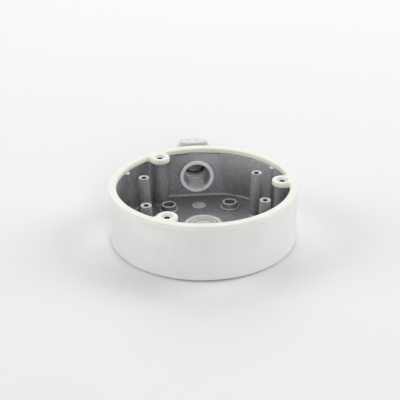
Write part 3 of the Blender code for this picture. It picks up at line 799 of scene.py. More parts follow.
@dataclass
class Housing:
    """The die-cast box: coated outside, bare inside, with milled contact faces."""

    wall_radius_top: float = 67.8
    wall_radius_base: float = 67.5
    wall_top: float = 37.4
    base_edge: float = 1.0
    rim_round: float = 0.3
    cavity_radius_top: float = 62.9
    cavity_radius_floor: float = 62.3
    floor: float = 3.0
    floor_fillet: float = 2.0
    root: float = 1.5
    pad_top: float = 61.0
    pad_floor: float = 58.3
    column_top: float = 5.0
    column_floor: float = 5.6
    column_fillet: float = 2.8
    rib_azimuths: tuple[float, ...] = (30.0, 149.0)
    rib_top: float = 2.0
    rib_floor: float = 2.5
    rib_height: float = 37.0
    rib_fillet: float = 0.9
    rib_edge: float = 0.3
    post_place: Pair = (41.75, 23.0)
    post_radius: float = 3.95
    post_top: float = 37.2
    boss_place: Pair = (23.4, 37.0)
    boss_radius: float = 5.6
    boss_top: float = 7.4
    boss_foot: Pair = (7.2, 3.7)
    ejector_y: float = 41.0
    ejector_pad: Pair = (5.5, 3.4)
    collar_radius: float = 14.1
    collar_top: float = 8.8
    spigot_radius: float = 3.5
    spigot_top: float = 40.0
    screw_hole: float = 2.3
    ring_radius: float = 13.1
    ring_front: float = 57.2
    port_back: float = 73.5
    port_bore: float = 9.6
    bore_front: float = 58.0
    thread_start: float = 68.5
    base_hole: float = 10.6
    wall_steps: tuple[int, ...] = (14, 28, 6, 14, 56, 72)
    body_steps: int = 256
    port_steps: int = 96
    round_steps: int = 48
    screw_steps: int = 32
    finishes: tuple[Finish, ...] = (
        PowderCoat(), CastMetal(), MilledMetal(), DustedMetal(),
        # Near-white bore finish: painted light on the bore's lower strip.
        MilledMetal("painted_light_bore_metal", (0.94, 0.94, 0.97), (0.85, 0.85, 0.89), 0.5, 0.1),
        # Lighter worn metal, which is also a painted highlight on the boss rims and flange edges.
        MilledMetal("worn_and_lit_metal", (0.62, 0.62, 0.63), (0.38, 0.38, 0.39), 0.55, 0.15),
        # Near-black metal: painted shade inside the screw holes.
        MilledMetal("painted_shade_hole_metal", (0.05, 0.048, 0.052), (0.03, 0.029, 0.031), 0.6, 0.3),
        MilledMetal("post_metal", (0.40, 0.405, 0.42), (0.30, 0.305, 0.32)))

    def tapered(self, top: float, foot: float, z: float) -> float:
        """Give a drafted size at a height, from its values at the wall's top and at the floor."""
        return foot + (top - foot) * ((z - self.floor) / (self.wall_top - self.floor))

    def cavity_radius(self, z: float) -> float:
        """Give the cavity's radius at a height."""
        return self.tapered(self.cavity_radius_top, self.cavity_radius_floor, z)

    def bulge(self, wall: float, distance: float, radius: float, fillet: float,
              across: int) -> tuple[float, list[Pair]]:
        """Give a round bulge on the inner wall, with its fillets, about azimuth 0.

        Args:
            wall: Radius of the wall.
            distance: Distance of the bulge's centre from the axis.
            radius: Radius of the bulge.
            fillet: Radius of the fillets beside it.
            across: Number of steps over the bulge.

        Returns:
            The azimuth in degrees at which it leaves the wall, and its points.
        """
        reach = wall - fillet
        square = reach ** 2 + distance ** 2 - (radius + fillet) ** 2
        turn = acos(square / (2 * reach * distance))
        centre_x, centre_y = reach * cos(turn), reach * sin(turn)
        lean = degrees(atan2(centre_y, distance - centre_x))
        edge = degrees(turn)
        points = arc((centre_x, -centre_y), fillet, -edge, lean, 6)
        points += arc((distance, 0.0), radius, lean - 180, -180 - lean, across)[1:]
        points += arc((centre_x, centre_y), fillet, -lean, edge, 6)[1:]
        return edge, points

    def features(self, z: float, inset: float,
                 ribs: float | None) -> list[tuple[float, float, list[Pair]]]:
        """Give what interrupts the round wall at a height.

        Args:
            z: Height.
            inset: Distance that the outline is moved into the cavity.
            ribs: How much smaller the ribs are, or None above them.

        Returns:
            First azimuth, last azimuth and points of each, in order.
        """
        wall = self.cavity_radius(z) - inset
        radius = self.tapered(self.column_top, self.column_floor, z) + inset
        fillet = max(self.column_fillet - inset, 0.05)
        edge, points = self.bulge(wall, EAR_CIRCLE, radius, fillet, 26)
        found = [(azimuth - edge, azimuth + edge, turned_about(points, azimuth))
                 for azimuth in EAR_AZIMUTHS]
        distance = self.cavity_radius(self.rib_height)
        radius = self.tapered(self.rib_top, self.rib_floor, z) + inset - (ribs or 0.0)
        edge, points = self.bulge(wall, distance, radius, max(self.rib_fillet - inset, 0.05), 16)
        if ribs is None:
            points = arc((0.0, 0.0), wall, -edge, edge, len(points) - 1)
        found += [(azimuth - edge, azimuth + edge, turned_about(points, azimuth))
                  for azimuth in self.rib_azimuths]
        pad = self.tapered(self.pad_top, self.pad_floor, max(z, self.floor)) - inset
        start = degrees(asin(min(pad / wall, 1.0)))
        half = sqrt(max(wall ** 2 - pad ** 2, 0.0))
        found.append((start, 180 - start, line((half, pad), (-half, pad), 24)))
        return sorted(found, key=lambda entry: entry[0])

    def outline(self, z: float, inset: float, ribs: float | None) -> list[Pair]:
        """Give the cavity's outline at a height, always with the same number of points.

        Args:
            z: Height.
            inset: Distance that the outline is moved into the cavity.
            ribs: How much smaller the ribs are, or None above them.

        Returns:
            The points in order.
        """
        entries = self.features(z, inset, ribs)
        wall = self.cavity_radius(z) - inset
        points: list[Pair] = []
        for entry, following, steps in zip(entries, entries[1:] + entries[:1], self.wall_steps):
            _, end, shape = entry
            last = end + (following[0] - end) % 360
            points += shape + arc((0.0, 0.0), wall, end, last, steps)[1:-1]
        return points

    def cavity(self) -> Solid:
        """Shape the space inside the box.

        Returns:
            The solid.
        """
        top, step, rib, less = self.wall_top, self.rim_round, self.rib_height, self.rib_edge
        levels: list[tuple[float, float, float | None]] = [
            (top + PAST, -step, None), (top, -step, None), (top - 0.09, -0.09, None),
            (top - step, 0.0, None), (rib, 0.0, None), (rib, 0.0, less), (rib - less, 0.0, 0.0)]
        levels += [(z, 0.0, 0.0) for z in (30.0, 24.0, 18.0, 12.0)]
        for phi in range(0, 91, 15):
            lift = self.floor_fillet * sin(radians(phi))
            inset = self.floor_fillet * (1 - cos(radians(phi)))
            levels.append((self.floor + self.floor_fillet - lift, inset, 0.0))
        rings = [[(x, y, z) for x, y in self.outline(z, inset, ribs)] for z, inset, ribs in levels]
        return Solid("cavity", skin(rings, False))

    def rounds(self, name: str, profile: list[Pair], places: list[Pair]) -> list[Solid]:
        """Turn the same round shape at several places."""
        return [Solid.turned(name, profile, self.round_steps, place) for place in places]

    def standing(self) -> Solid:
        """Shape what stands on the floor and on the screw columns, with its root fillets.

        Returns:
            The solid.
        """
        post = rounded_edge((self.post_radius, self.post_top), 0.35, 90)
        post += fillet_curve((4.9, 4.6), (6.2, self.floor), 6) + [(6.2, self.root)]
        foot, foot_top = self.boss_foot
        boss = rounded_edge((self.boss_radius, self.boss_top), 0.4, 90)
        boss += fillet_curve((5.95, 4.1), (6.3, foot_top), 3)
        boss += rounded_edge(self.boss_foot, 0.35, 90) + [(foot, self.root)]
        pad = rounded_edge(self.ejector_pad, 0.25, 90) + [(self.ejector_pad[0], self.root)]
        collar = rounded_edge((self.collar_radius, self.collar_top), 0.4, 90)
        collar += fillet_curve((14.5, 3.9), (15.3, self.floor), 5) + [(15.3, self.root)]
        spigot = rounded_edge((self.spigot_radius, self.spigot_top), 0.35, 90)
        solids = self.rounds("post", post, mirrored(self.post_place))
        solids += self.rounds("boss", boss, mirrored(self.boss_place))
        solids += self.rounds("ejector_pad", pad, [(0.0, self.ejector_y)])
        solids.append(Solid.turned("collar", collar, self.port_steps))
        solids += self.rounds("spigot", spigot + [(self.spigot_radius, 35.4)], ear_places())
        return Solid.group("standing", solids)

    def lip(self) -> Solid:
        """Shape the raised lip above the port's flat land."""
        return Solid.block("pad_lip", (-6.1, self.pad_top), (6.1, 61.76), (38.6, 35.4))

    def reliefs(self) -> Solid:
        """Shape the shallow steps beside the lip, which leave a gap below the gasket.

        Returns:
            The solid.
        """
        levels = (38.4, 36.8)
        sides = [Solid.block("relief", (-19.0, 60.4), (-6.3, 63.2), levels),
                 Solid.block("relief", (6.3, 60.4), (19.0, 63.2), levels)]
        return Solid.group("reliefs", sides)

    def port(self) -> Solid:
        """Shape the port's inner ring and outer spigot.

        Returns:
            The solid.
        """
        profile = rounded_edge((15.4, self.port_back), 0.5, 90) + [(15.4, 69.4), (15.6, 68.4)]
        profile += [(16.0, 67.4), (16.5, 66.4), (16.5, 64.25), (13.4, 64.25)]
        profile += rounded_edge((self.ring_radius, self.ring_front), 0.45, 0)
        return Solid.turned("port", profile, self.port_steps).move(ON_PORT)

    def port_hole(self) -> Solid:
        """Shape the stepped hole through the port, with the flare at its front.

        Returns:
            The solid.
        """
        front, back = self.ring_front, self.port_back
        profile = [(13.4, back + PAST), (13.4, back), (12.8, back - 0.6)]
        profile += [(12.8, self.thread_start)]
        profile += [(self.port_bore, self.thread_start), (self.port_bore, 58.6)]
        profile += [(9.75, self.bore_front), (10.1, 57.5), (10.6, front), (10.6, front - PAST)]
        return Solid.turned("port_hole", profile, self.port_steps).move(ON_PORT)

    def upright_holes(self) -> Solid:
        """Shape every hole that runs along the box's axis.

        Returns:
            The solid.
        """
        narrow, wide, top = self.base_hole, self.base_hole + 0.4, self.collar_top
        base = [(wide, top + PAST), (wide, top), (narrow, top - 0.4), (narrow, 0.4)]
        top = self.boss_top
        cup = [(4.4, top + PAST), (4.4, top), (4.1, top - 0.3), (4.1, 3.8), (2.2, 3.8)]
        cup += [(2.2, -PAST)]
        top = self.post_top
        post = [(3.0, top + PAST), (3.0, top), (2.7, top - 0.25), (2.05, top - 0.35)]
        post += [(1.6, top - 0.8), (1.5, 22.0), (0.3, 21.2)]
        hole, top = self.screw_hole, self.spigot_top
        ear = [(hole, top + PAST), (hole, top), (hole - 0.3, top - 0.3), (hole - 0.35, 37.0)]
        ear += [(hole - 0.6, 36.6), (hole - 0.6, 24.4), (0.3, 23.4)]
        solids = [Solid.turned("base_hole", base + [(wide, 0.0), (wide, -PAST)], self.port_steps)]
        solids += self.rounds("wall_screw", cup, mirrored(self.boss_place))
        for screw, places in ((post, mirrored(self.post_place)), (ear, ear_places())):
            solids += [Solid.turned("screw", screw, self.screw_steps, place) for place in places]
        return Solid.group("upright_holes", solids)

    def body(self) -> Solid:
        """Shape the outside of the box as a solid disc.

        Returns:
            The solid.
        """
        profile = rounded_edge((self.wall_radius_top, self.wall_top), self.rim_round, 90)
        profile += rounded_edge((self.wall_radius_base, 0.0), self.base_edge, 0, 6)
        return Solid.turned("housing_shell", profile, self.body_steps)

    def port_face(self, spot: Spot) -> HousingFace | None:
        """Tell which surface of the port a face belongs to.

        Args:
            spot: Mean place of the face.

        Returns:
            The kind of surface, or None where the face isn't in the port.
        """
        front = self.ring_front - 0.2
        if front < spot.y < self.thread_start + NEAR and spot.off_port < 10.7:
            # Painted light: the bore's lower strip and far step take a near-white finish where
            # light through the ring falls; its sides keep the darker milled finish as painted
            # shade.
            below = abs(spot.x) < 0.75 * (PORT_AXIS_Z - spot.z)
            step = spot.off_port > self.port_bore + NEAR and spot.y > 60.0
            lit_strip = spot.y > self.bore_front and below or step
            return HousingFace.PAINTED_LIGHT_BORE if lit_strip else HousingFace.MILLED
        on_ring = front < spot.y < self.bore_front and spot.off_port < self.ring_radius + NEAR
        return HousingFace.DUSTED if on_ring else None

    def top_face(self, spot: Spot) -> HousingFace | None:
        """Tell which rib, spigot, screw hole or post top a face belongs to.

        Args:
            spot: Mean place of the face.

        Returns:
            The kind of surface, or None where the face is on none of them.
        """
        azimuth = degrees(atan2(spot.y, spot.x))
        # Rib tops take the near-white dusted finish: stray powder and a painted highlight.
        on_rib = spot.radius > 59.0 and min(abs(azimuth - rib) for rib in self.rib_azimuths) < 2.6
        if on_rib and -0.35 < spot.z - self.rib_height < 0.05:
            return HousingFace.DUSTED
        off_screw, hole = spot.off_ear_screw(), self.screw_hole + 0.05
        if spot.z > self.spigot_top - 0.2 and off_screw > hole:
            return HousingFace.DUSTED
        # Painted shade: the insides of the screw holes and post holes are near black.
        in_post = spot.z > 21.0 and spot.off_mirrored(self.post_place) < 1.95
        if spot.z > 24.0 and off_screw < hole or in_post:
            return HousingFace.PAINTED_SHADE_HOLE
        on_post = spot.z > self.post_top - 0.2 and spot.radius < 50.0
        return HousingFace.POST if on_post else None

    def floor_face(self, spot: Spot) -> HousingFace:
        """Tell which surface of the wall or of the floor a face belongs to.

        Args:
            spot: Mean place of the face.

        Returns:
            The kind of surface.
        """
        off_boss, off_pad = spot.off_mirrored(self.boss_place), spot.off((0.0, self.ejector_y))
        # Worn ejector pad, and painted highlight on the boss rims and on the edges of their
        # flanges.
        boss = 7.0 < spot.z < 7.5 and off_boss < 6.0 or 3.4 < spot.z < 3.8 and 5.9 < off_boss < 7.3
        if boss or spot.z > 3.2 and off_pad < self.ejector_pad[0] + NEAR:
            return HousingFace.WORN_AND_LIT
        if 8.3 < spot.z < 8.9 and self.base_hole < spot.radius < self.collar_radius + NEAR:
            return HousingFace.MILLED
        outside = spot.radius > 66.5 or (spot.z < 1.2 and spot.radius > 11.2)
        return HousingFace.COAT if outside else HousingFace.CAST

    def face_of(self, spot: Spot) -> HousingFace:
        """Tell which surface a face belongs to from its mean place."""
        return self.port_face(spot) or self.top_face(spot) or self.floor_face(spot)

    def build(self) -> bpy.types.Object:
        """Cast, drill and dress the box.

        Returns:
            The finished piece.
        """
        shell = self.body()
        shell.meet(self.cavity(), Join.CUT)
        for part in (self.standing, self.lip, self.port):
            shell.meet(part(), Join.ADD)
        for part in (self.reliefs, self.port_hole, self.upright_holes):
            shell.meet(part(), Join.CUT)
        piece = shell.as_piece("housing_casting", self.finishes, rule=self.face_of)
        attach(piece, "box")
        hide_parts("housing")
        return piece


@dataclass
class RimGasket:
    """The ivory rubber ring on the rim, with three ears."""

    outer: float = 68.4
    inner: float = 62.36
    bottom: float = 37.7
    top: float = 41.6
    edge: float = 0.8
    lower_edge: float = 0.35
    inner_edge: float = 1.1
    inner_lower_edge: float = 0.9
    ear_radius: float = 7.4
    ear_fillet: float = 1.8
    ear_hole: float = 3.8
    bead: float = 0.1
    bead_half: float = 0.25
    finish: Rubber = Rubber("ivory_rubber", (0.83, 0.83, 0.785), (0.80, 0.80, 0.745), glow=0.15)
    # Lighter, yellower copy of the rubber: painted light and a painted yellow shade tint on the
    # inner sides.
    painted_side_finish: Rubber = Rubber("ivory_rubber_painted_side", (0.95, 0.945, 0.80), (0.92, 0.91, 0.76),
                                 glow=0.15)

    def inner_outline(self, inset: float) -> list[Pair]:
        """Give the inner outline with its ears.

        Args:
            inset: Distance that it is moved into the rubber.

        Returns:
            The points in order.
        """
        inner, radius, fillet = self.inner + inset, self.ear_radius - inset, self.ear_fillet + inset
        reach = inner - fillet
        side = radius + fillet
        along = sqrt(reach ** 2 - side ** 2)
        turn = degrees(asin(side / reach))
        local = arc((along, -side), fillet, -turn, 90, 8)
        local += arc((EAR_CIRCLE, 0.0), radius, -90, -270, 30)
        local += arc((along, side), fillet, -90, turn, 8)
        local += arc((0.0, 0.0), inner, turn, 120 - turn, 48)[1:-1]
        return [point for azimuth in EAR_AZIMUTHS for point in turned_about(local, azimuth)]

    def outer_outline(self, inset: float) -> list[Pair]:
        """Give the outer circle with one point for each point of the inner outline.

        Args:
            inset: Distance that it is moved into the rubber.

        Returns:
            The points in order.
        """
        azimuths = [degrees(atan2(y, x)) % 360 for x, y in self.inner_outline(0.0)]
        first = azimuths[0]
        azimuths.sort()
        shift = azimuths.index(first)
        radius = self.outer - inset
        return [(radius * cos(radians(a)), radius * sin(radians(a)))
                for a in azimuths[shift:] + azimuths[:shift]]

    def section(self, edge: float, lower: float, bead: float) -> list[Pair]:
        """Give one side of the ring's section, downwards.

        Args:
            edge: Radius of the upper edge's round.
            lower: Radius of the lower edge's round.
            bead: Height of the parting bead in the middle.

        Returns:
            Inset and height of each point.
        """
        middle = (self.bottom + self.top) / 2
        side = [(edge * (1 - sin(radians(a))), self.top - edge * (1 - cos(radians(a))))
                for a in (0, 22.5, 45, 67.5, 90)]
        side += [(0.0, middle + self.bead_half), (-bead, middle), (0.0, middle - self.bead_half)]
        return side + [(lower * (1 - cos(radians(a))), self.bottom + lower * (1 - sin(radians(a))))
                       for a in (0, 30, 60, 90)]

    def holes(self) -> Solid:
        """Shape the holes in the ears, with their flared mouths.

        Returns:
            The solid.
        """
        hole, top = self.ear_hole, self.top
        flare = [(hole + 0.75, top + PAST), (hole + 0.75, top), (hole + 0.35, top - 0.2)]
        flare += [(hole + 0.1, top - 0.6), (hole, top - 1.0), (hole, self.bottom - PAST)]
        return Solid.group("ear_holes", [Solid.turned("ear_hole", flare, 48, place)
                                         for place in ear_places()])

    def face_of(self, spot: Spot) -> GasketFace:
        """Tell the inner side, which takes a lighter, yellower copy of the rubber as painted light
        and painted shade tint, from the rest.

        Args:
            spot: Mean place of the face.

        Returns:
            The part of the gasket.
        """
        off_hole = spot.off_ear_screw() > self.ear_hole + 0.9
        side = spot.radius < self.outer - 1.0 and spot.z < self.top - 0.35 and off_hole
        return GasketFace.PAINTED_SIDE if side else GasketFace.TOP

    def build(self) -> bpy.types.Object:
        """Mould and dress the gasket.

        Returns:
            The finished piece.
        """
        outside = self.section(self.edge, self.lower_edge, self.bead)
        inside = self.section(self.inner_edge, self.inner_lower_edge, 0.0)[::-1]
        rings = [[(x, y, z) for x, y in self.outer_outline(inset)] for inset, z in outside]
        rings += [[(x, y, z) for x, y in self.inner_outline(inset)] for inset, z in inside]
        gasket = Solid("gasket", skin(rings, True)).meet(self.holes(), Join.CUT)
        piece = gasket.as_piece("gasket_ring", (self.finish, self.painted_side_finish), 40, self.face_of)
        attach(piece, "box")
        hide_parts("rim_gasket")
        return piece


@dataclass
class CableGland:
    """The white nylon gland in the port: body, washer, seal and domed nut."""

    steps: int = 96
    bore: float = 9.6
    shank: float = 12.5
    shank_ends: Pair = (68.8, 77.0)
    neck: float = 13.5
    neck_ends: Pair = (78.0, 92.0)
    pitch: float = 1.5
    thread: tuple[Pair, ...] = ((0.0, 0.0), (0.22, 0.0), (0.42, 1.0), (0.58, 1.0), (0.78, 0.0))
    thread_depth: float = 0.55
    thread_chamfer: float = 0.8
    pocket: float = 10.7
    pocket_floor: float = 83.0
    collar_flats: float = 30.0
    collar_ends: Pair = (75.6, 80.4)
    collar_slopes: Pair = (0.43, 0.43)
    collar_face: float = 14.6
    washer_faces: Pair = (75.3, 73.8)
    nut_flats: float = 33.0
    nut_face: float = 15.4
    nut_grip: Pair = (85.0, 96.2)
    nut_slopes: Pair = (0.5, 0.8)
    nut_end: float = 103.0
    groove: float = 0.55
    nylon: Finish = MouldedPlastic("white_nylon", (0.76, 0.76, 0.77), (0.71, 0.71, 0.72))
    # Painted shade: the nut takes a darker copy of the gland's white nylon.
    nut_nylon: Finish = MouldedPlastic("nut_nylon", (0.59, 0.59, 0.59), (0.54, 0.54, 0.54))
    seal_rubber: Finish = Rubber("brown_rubber", (0.34, 0.31, 0.29), (0.26, 0.235, 0.22), 0.6)
    # Near-black rubber: painted shade on the seal's nose in the pocket.
    painted_shade_nose_rubber: Finish = Rubber("dark_rubber", (0.02, 0.02, 0.02), (0.015, 0.015, 0.015), 0.7)
    washer_rubber: Finish = Rubber("grey_rubber", (0.12, 0.12, 0.12), (0.09, 0.09, 0.09), 0.65)

    def depth_at(self, phase: float) -> float:
        """Give the thread's depth share at a phase of its pitch.

        Args:
            phase: Place along the pitch, from 0 to 1.

        Returns:
            The share between 0 and 1.
        """
        closed = (*self.thread, (1.0, self.thread[0][1]))
        for (a, low), (b, high) in zip(closed, closed[1:]):
            if a <= phase <= b:
                return low + (high - low) * (phase - a) / (b - a)
        return 0.0

    def threaded_bar(self, name: str, radius: float, start: float, end: float) -> Solid:
        """Shape a threaded bar along Z, with a chamfer at both ends.

        Args:
            name: Name of the solid.
            radius: Outer radius of the thread.
            start: Height of the lower end.
            end: Height of the upper end.

        Returns:
            The solid.
        """
        chamfer, count = self.thread_chamfer, len(self.thread)
        turns = int((end - start) / self.pitch) + 3
        bm = bmesh.new()
        grid = []
        for step in range(-count, turns * count):
            row = []
            for j in range(self.steps + 1):
                turn = j / self.steps
                z = start + self.pitch * (step // count + self.thread[step % count][0] + turn)
                z = min(max(z, start), end)
                phase = ((z - start) / self.pitch - turn) % 1.0
                depth = self.thread_depth * self.depth_at(phase)
                envelope = radius - chamfer + min(z - start, end - z)
                least = radius - max(chamfer, self.thread_depth)
                reach = min(radius - depth, max(envelope, least))
                angle = 2 * pi * turn
                row.append(bm.verts.new((reach * cos(angle), reach * sin(angle), z)))
            grid.append(row)
        for upper, lower in zip(grid, grid[1:]):
            for j in range(self.steps):
                bm.faces.new((upper[j], upper[j + 1], lower[j + 1], lower[j]))
        weld(bm, MERGE)
        bmesh.ops.holes_fill(bm, edges=[edge for edge in bm.edges if edge.is_boundary])
        return Solid(name, bm)

    def hexagon(self, name: str, flats: float, ends: Pair, slopes: Pair, face: float) -> Solid:
        """Shape a hexagonal bar with turned chamfers, its flats up and down.

        Args:
            name: Name of the solid.
            flats: Size across flats.
            ends: Height of the lower and of the upper end.
            slopes: Rise of the lower and the upper chamfer for each millimetre outwards.
            face: Radius of the round faces that the chamfers leave at both ends.

        Returns:
            The solid.
        """
        (start, end), (lower, upper) = ends, slopes
        corner = flats / sqrt(3)
        corners = arc((0.0, 0.0), corner, 0, 360, 6)
        outline = [point for a, b in zip(corners, corners[1:]) for point in line(a, b, 6)[:-1]]
        full = corner + 0.1
        profile = [(face - PAST, end + PAST * upper), (full, end - (full - face) * upper)]
        profile += [(full, start + (full - face) * lower), (face - PAST, start - PAST * lower)]
        bar = Solid.prism(name, outline, (end, start))
        return bar.meet(Solid.turned("envelope", profile, 144), Join.KEEP)

    def body(self) -> bpy.types.Object:
        """Build the gland body.

        Returns:
            The finished piece.
        """
        body = self.threaded_bar("neck", self.neck, *self.neck_ends)
        collar = self.hexagon("collar", self.collar_flats, self.collar_ends, self.collar_slopes,
                              self.collar_face)
        body.meet(collar, Join.ADD)
        body.meet(self.threaded_bar("shank", self.shank, *self.shank_ends), Join.ADD)
        bore, mouth, ridge = self.bore, self.pocket + 0.3, self.bore - 0.4
        front, back = self.shank_ends[0], self.neck_ends[1]
        profile = [(mouth, back + PAST), (mouth, back), (self.pocket, back - 0.3)]
        profile += [(self.pocket, self.pocket_floor), (bore, self.pocket_floor)]
        for middle in (79.7, 76.4):
            profile += [(bore, middle + 0.75), (ridge, middle + 0.3)]
            profile += [(ridge, middle - 0.3), (bore, middle - 0.75)]
        profile += [(bore, front + 0.3), (bore + 0.3, front), (bore + 0.3, front - PAST)]
        body.meet(Solid.turned("bore", profile, self.steps), Join.CUT)
        body.move(ON_PORT)
        piece = body.as_piece("gland_body_threaded", [self.nylon], 28)
        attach(piece, "box")
        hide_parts("gland_body")
        return piece

    def washer(self) -> bpy.types.Object:
        """Build the flat washer behind the collar.

        Returns:
            The finished piece.
        """
        back, front = self.washer_faces
        profile = [(12.9, back)] + rounded_edge((14.6, back), 0.3, 90, 3)
        profile += rounded_edge((14.6, front), 0.3, 0, 3) + [(12.9, front)]
        ring = Solid.turned("washer", profile, self.steps, loop=True).move(ON_PORT)
        piece = ring.as_piece("gland_washer_ring", [self.washer_rubber])
        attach(piece, "box")
        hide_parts("gland_washer")
        return piece

    def seal(self) -> bpy.types.Object:
        """Build the rubber seal with its flange and grip rings.

        Returns:
            The finished piece.
        """
        profile = [(5.3, 96.9)] + rounded_edge((12.5, 96.9), 0.4, 90, 3)
        profile += rounded_edge((12.5, 94.3), 0.3, 0, 3)
        profile += [(10.4, 94.3), (10.4, 88.0), (9.2, 87.6)]
        profile += rounded_edge((9.1, 85.3), 0.5, 0, 3) + [(8.0, 85.3), (7.8, 85.5)]
        profile += [(7.5, 85.5), (7.3, 85.3), (5.9, 85.3), (4.9, 86.2)]
        for middle in (88.0, 91.0, 94.0):
            profile += [(4.75, middle - 0.7), (4.5, middle - 0.3)]
            profile += [(4.5, middle + 0.3), (4.75, middle + 0.7)]
        profile += [(4.75, 96.2)]
        ring = Solid.turned("seal", profile, self.steps, loop=True).move(ON_PORT)
        # The seal's outer nose is painted near black as the pocket's shade.
        finishes = (self.seal_rubber, self.painted_shade_nose_rubber)
        piece = ring.as_piece("gland_seal_ring", finishes, 40, self.seal_face)
        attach(piece, "seal")
        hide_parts("gland_seal")
        return piece

    @staticmethod
    def seal_face(spot: Spot) -> SealFace:
        """Tell the seal's outer nose, painted near black as the shade of the pocket around it, from
        its body by a face's place.
        """
        shaded_nose = spot.off_port > 8.2 and spot.corners[0].y < 88.1
        return SealFace.PAINTED_SHADE_NOSE if shaded_nose else SealFace.BODY

    def grooves(self) -> Solid:
        """Shape the grip grooves on the nut's flats, two on each.

        Returns:
            The solid.
        """
        solids = []
        spacing = self.nut_flats / sqrt(3) / 3
        oval = [(x, y * 0.65) for x, y in arc((0.0, 0.0), self.groove, 0, 360, 12)[:-1]]
        levels = (98.0, self.nut_grip[0] - PAST)
        for side in range(6):
            turn = Matrix.Rotation(radians(60 * side), 4, "Z")
            for offset in (-spacing / 2, spacing / 2):
                outline = [(x + offset, y + self.nut_flats / 2) for x, y in oval]
                solids.append(Solid.prism("groove", outline, levels).move(turn))
        return Solid.group("grooves", solids)

    def nut(self) -> bpy.types.Object:
        """Build the domed nut.

        Returns:
            The finished piece.
        """
        nut = self.hexagon("nut", self.nut_flats, self.nut_grip, self.nut_slopes, self.nut_face)
        nut.meet(self.grooves(), Join.CUT)
        start, end = self.nut_grip[0], self.nut_end
        dome = [(9.0, end)] + rounded_edge((11.2, end), 0.7, 90, 4)
        dome += [(12.2, 101.2), (13.2, 100.2), (14.1, 99.2), (14.8, 98.2), (15.2, 97.2)]
        dome += [(15.2, 94.2)]
        nut.meet(Solid.turned("dome", dome, self.steps), Join.ADD)
        bore = [(8.8, end + PAST), (8.8, end), (8.2, end - 0.6), (8.2, 97.2), (12.8, 97.2)]
        bore += [(12.8, 94.3), (13.8, 94.3), (13.8, start + 0.5), (14.3, start)]
        bore += [(14.3, start - PAST)]
        nut.meet(Solid.turned("nut_bore", bore, self.steps), Join.CUT)
        nut.move(ON_PORT)
        piece = nut.as_piece("gland_nut_domed", [self.nut_nylon], 28)
        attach(piece, "nut")
        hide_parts("gland_nut")
        return piece

    def build(self) -> list[bpy.types.Object]:
        """Build the gland's four pieces."""
        return [self.body(), self.washer(), self.seal(), self.nut()]


@dataclass
class BasePlug:
    """The cream plug in the base hole, with its ring."""

    radius: float = 10.3
    top: float = 8.6
    foot: float = 0.8
    groove: float = 8.4
    groove_ends: Pair = (4.5, 2.3)
    slot_half: Pair = (6.5, 1.2)
    ring_middle: Pair = (9.5, 3.4)
    ring_radius: float = 0.8
    steps: int = 96
    # Cream plastic, darkened as painted shade from the box's front wall.
    plastic: Finish = MouldedPlastic("cream_plastic", (0.56, 0.555, 0.50), (0.505, 0.50, 0.45),
                                     0.42)
    rubber: Finish = Rubber("black_rubber", (0.03, 0.03, 0.03), (0.02, 0.02, 0.02), 0.5)

    def build(self) -> list[bpy.types.Object]:
        """Build the plug and its ring.

        Returns:
            The finished pieces.
        """
        upper, lower = self.groove_ends
        profile = [(5.5, 7.35), (6.6, 7.4), (7.3, 7.7), (7.8, 8.2), (8.2, self.top)]
        profile += rounded_edge((self.radius, self.top), 0.4, 90) + [(self.radius, upper)]
        profile += [(self.groove, upper), (self.groove, lower), (self.radius, lower)]
        profile += rounded_edge((self.radius, self.foot), 0.4, 0)
        plug = Solid.turned("plug", profile, self.steps)
        x, y = self.slot_half
        plug.meet(Solid.block("driver_slot", (-x, -y), (x, y), (3.0, -1.4)), Join.CUT)
        plug_piece = plug.as_piece("base_plug_moulded", [self.plastic])
        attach(plug_piece, "box")
        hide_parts("base_plug")
        section = arc(self.ring_middle, self.ring_radius, 180, -180, 16)[:-1]
        ring = Solid.turned("plug_ring", section, self.steps, loop=True)
        ring_piece = ring.as_piece("base_plug_o_ring", [self.rubber], 60)
        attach(ring_piece, "box")
        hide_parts("base_plug_ring")
        return [plug_piece, ring_piece]


@dataclass(frozen=True)
class Lamp:
    """A soft square lamp that looks at the box: place and side in metres, power in watts."""

    name: str
    place: Point
    side: float
    power: float

    def hang(self) -> None:
        """Put the lamp in the scene."""
        data = bpy.data.lights.new(self.name, "AREA")
        data.size = self.side
        data.energy = self.power
        lamp = put_in_scene(self.name, data)
        lamp.location = self.place
        lamp.rotation_euler = (-Vector(self.place)).to_track_quat("-Z", "Y").to_euler()


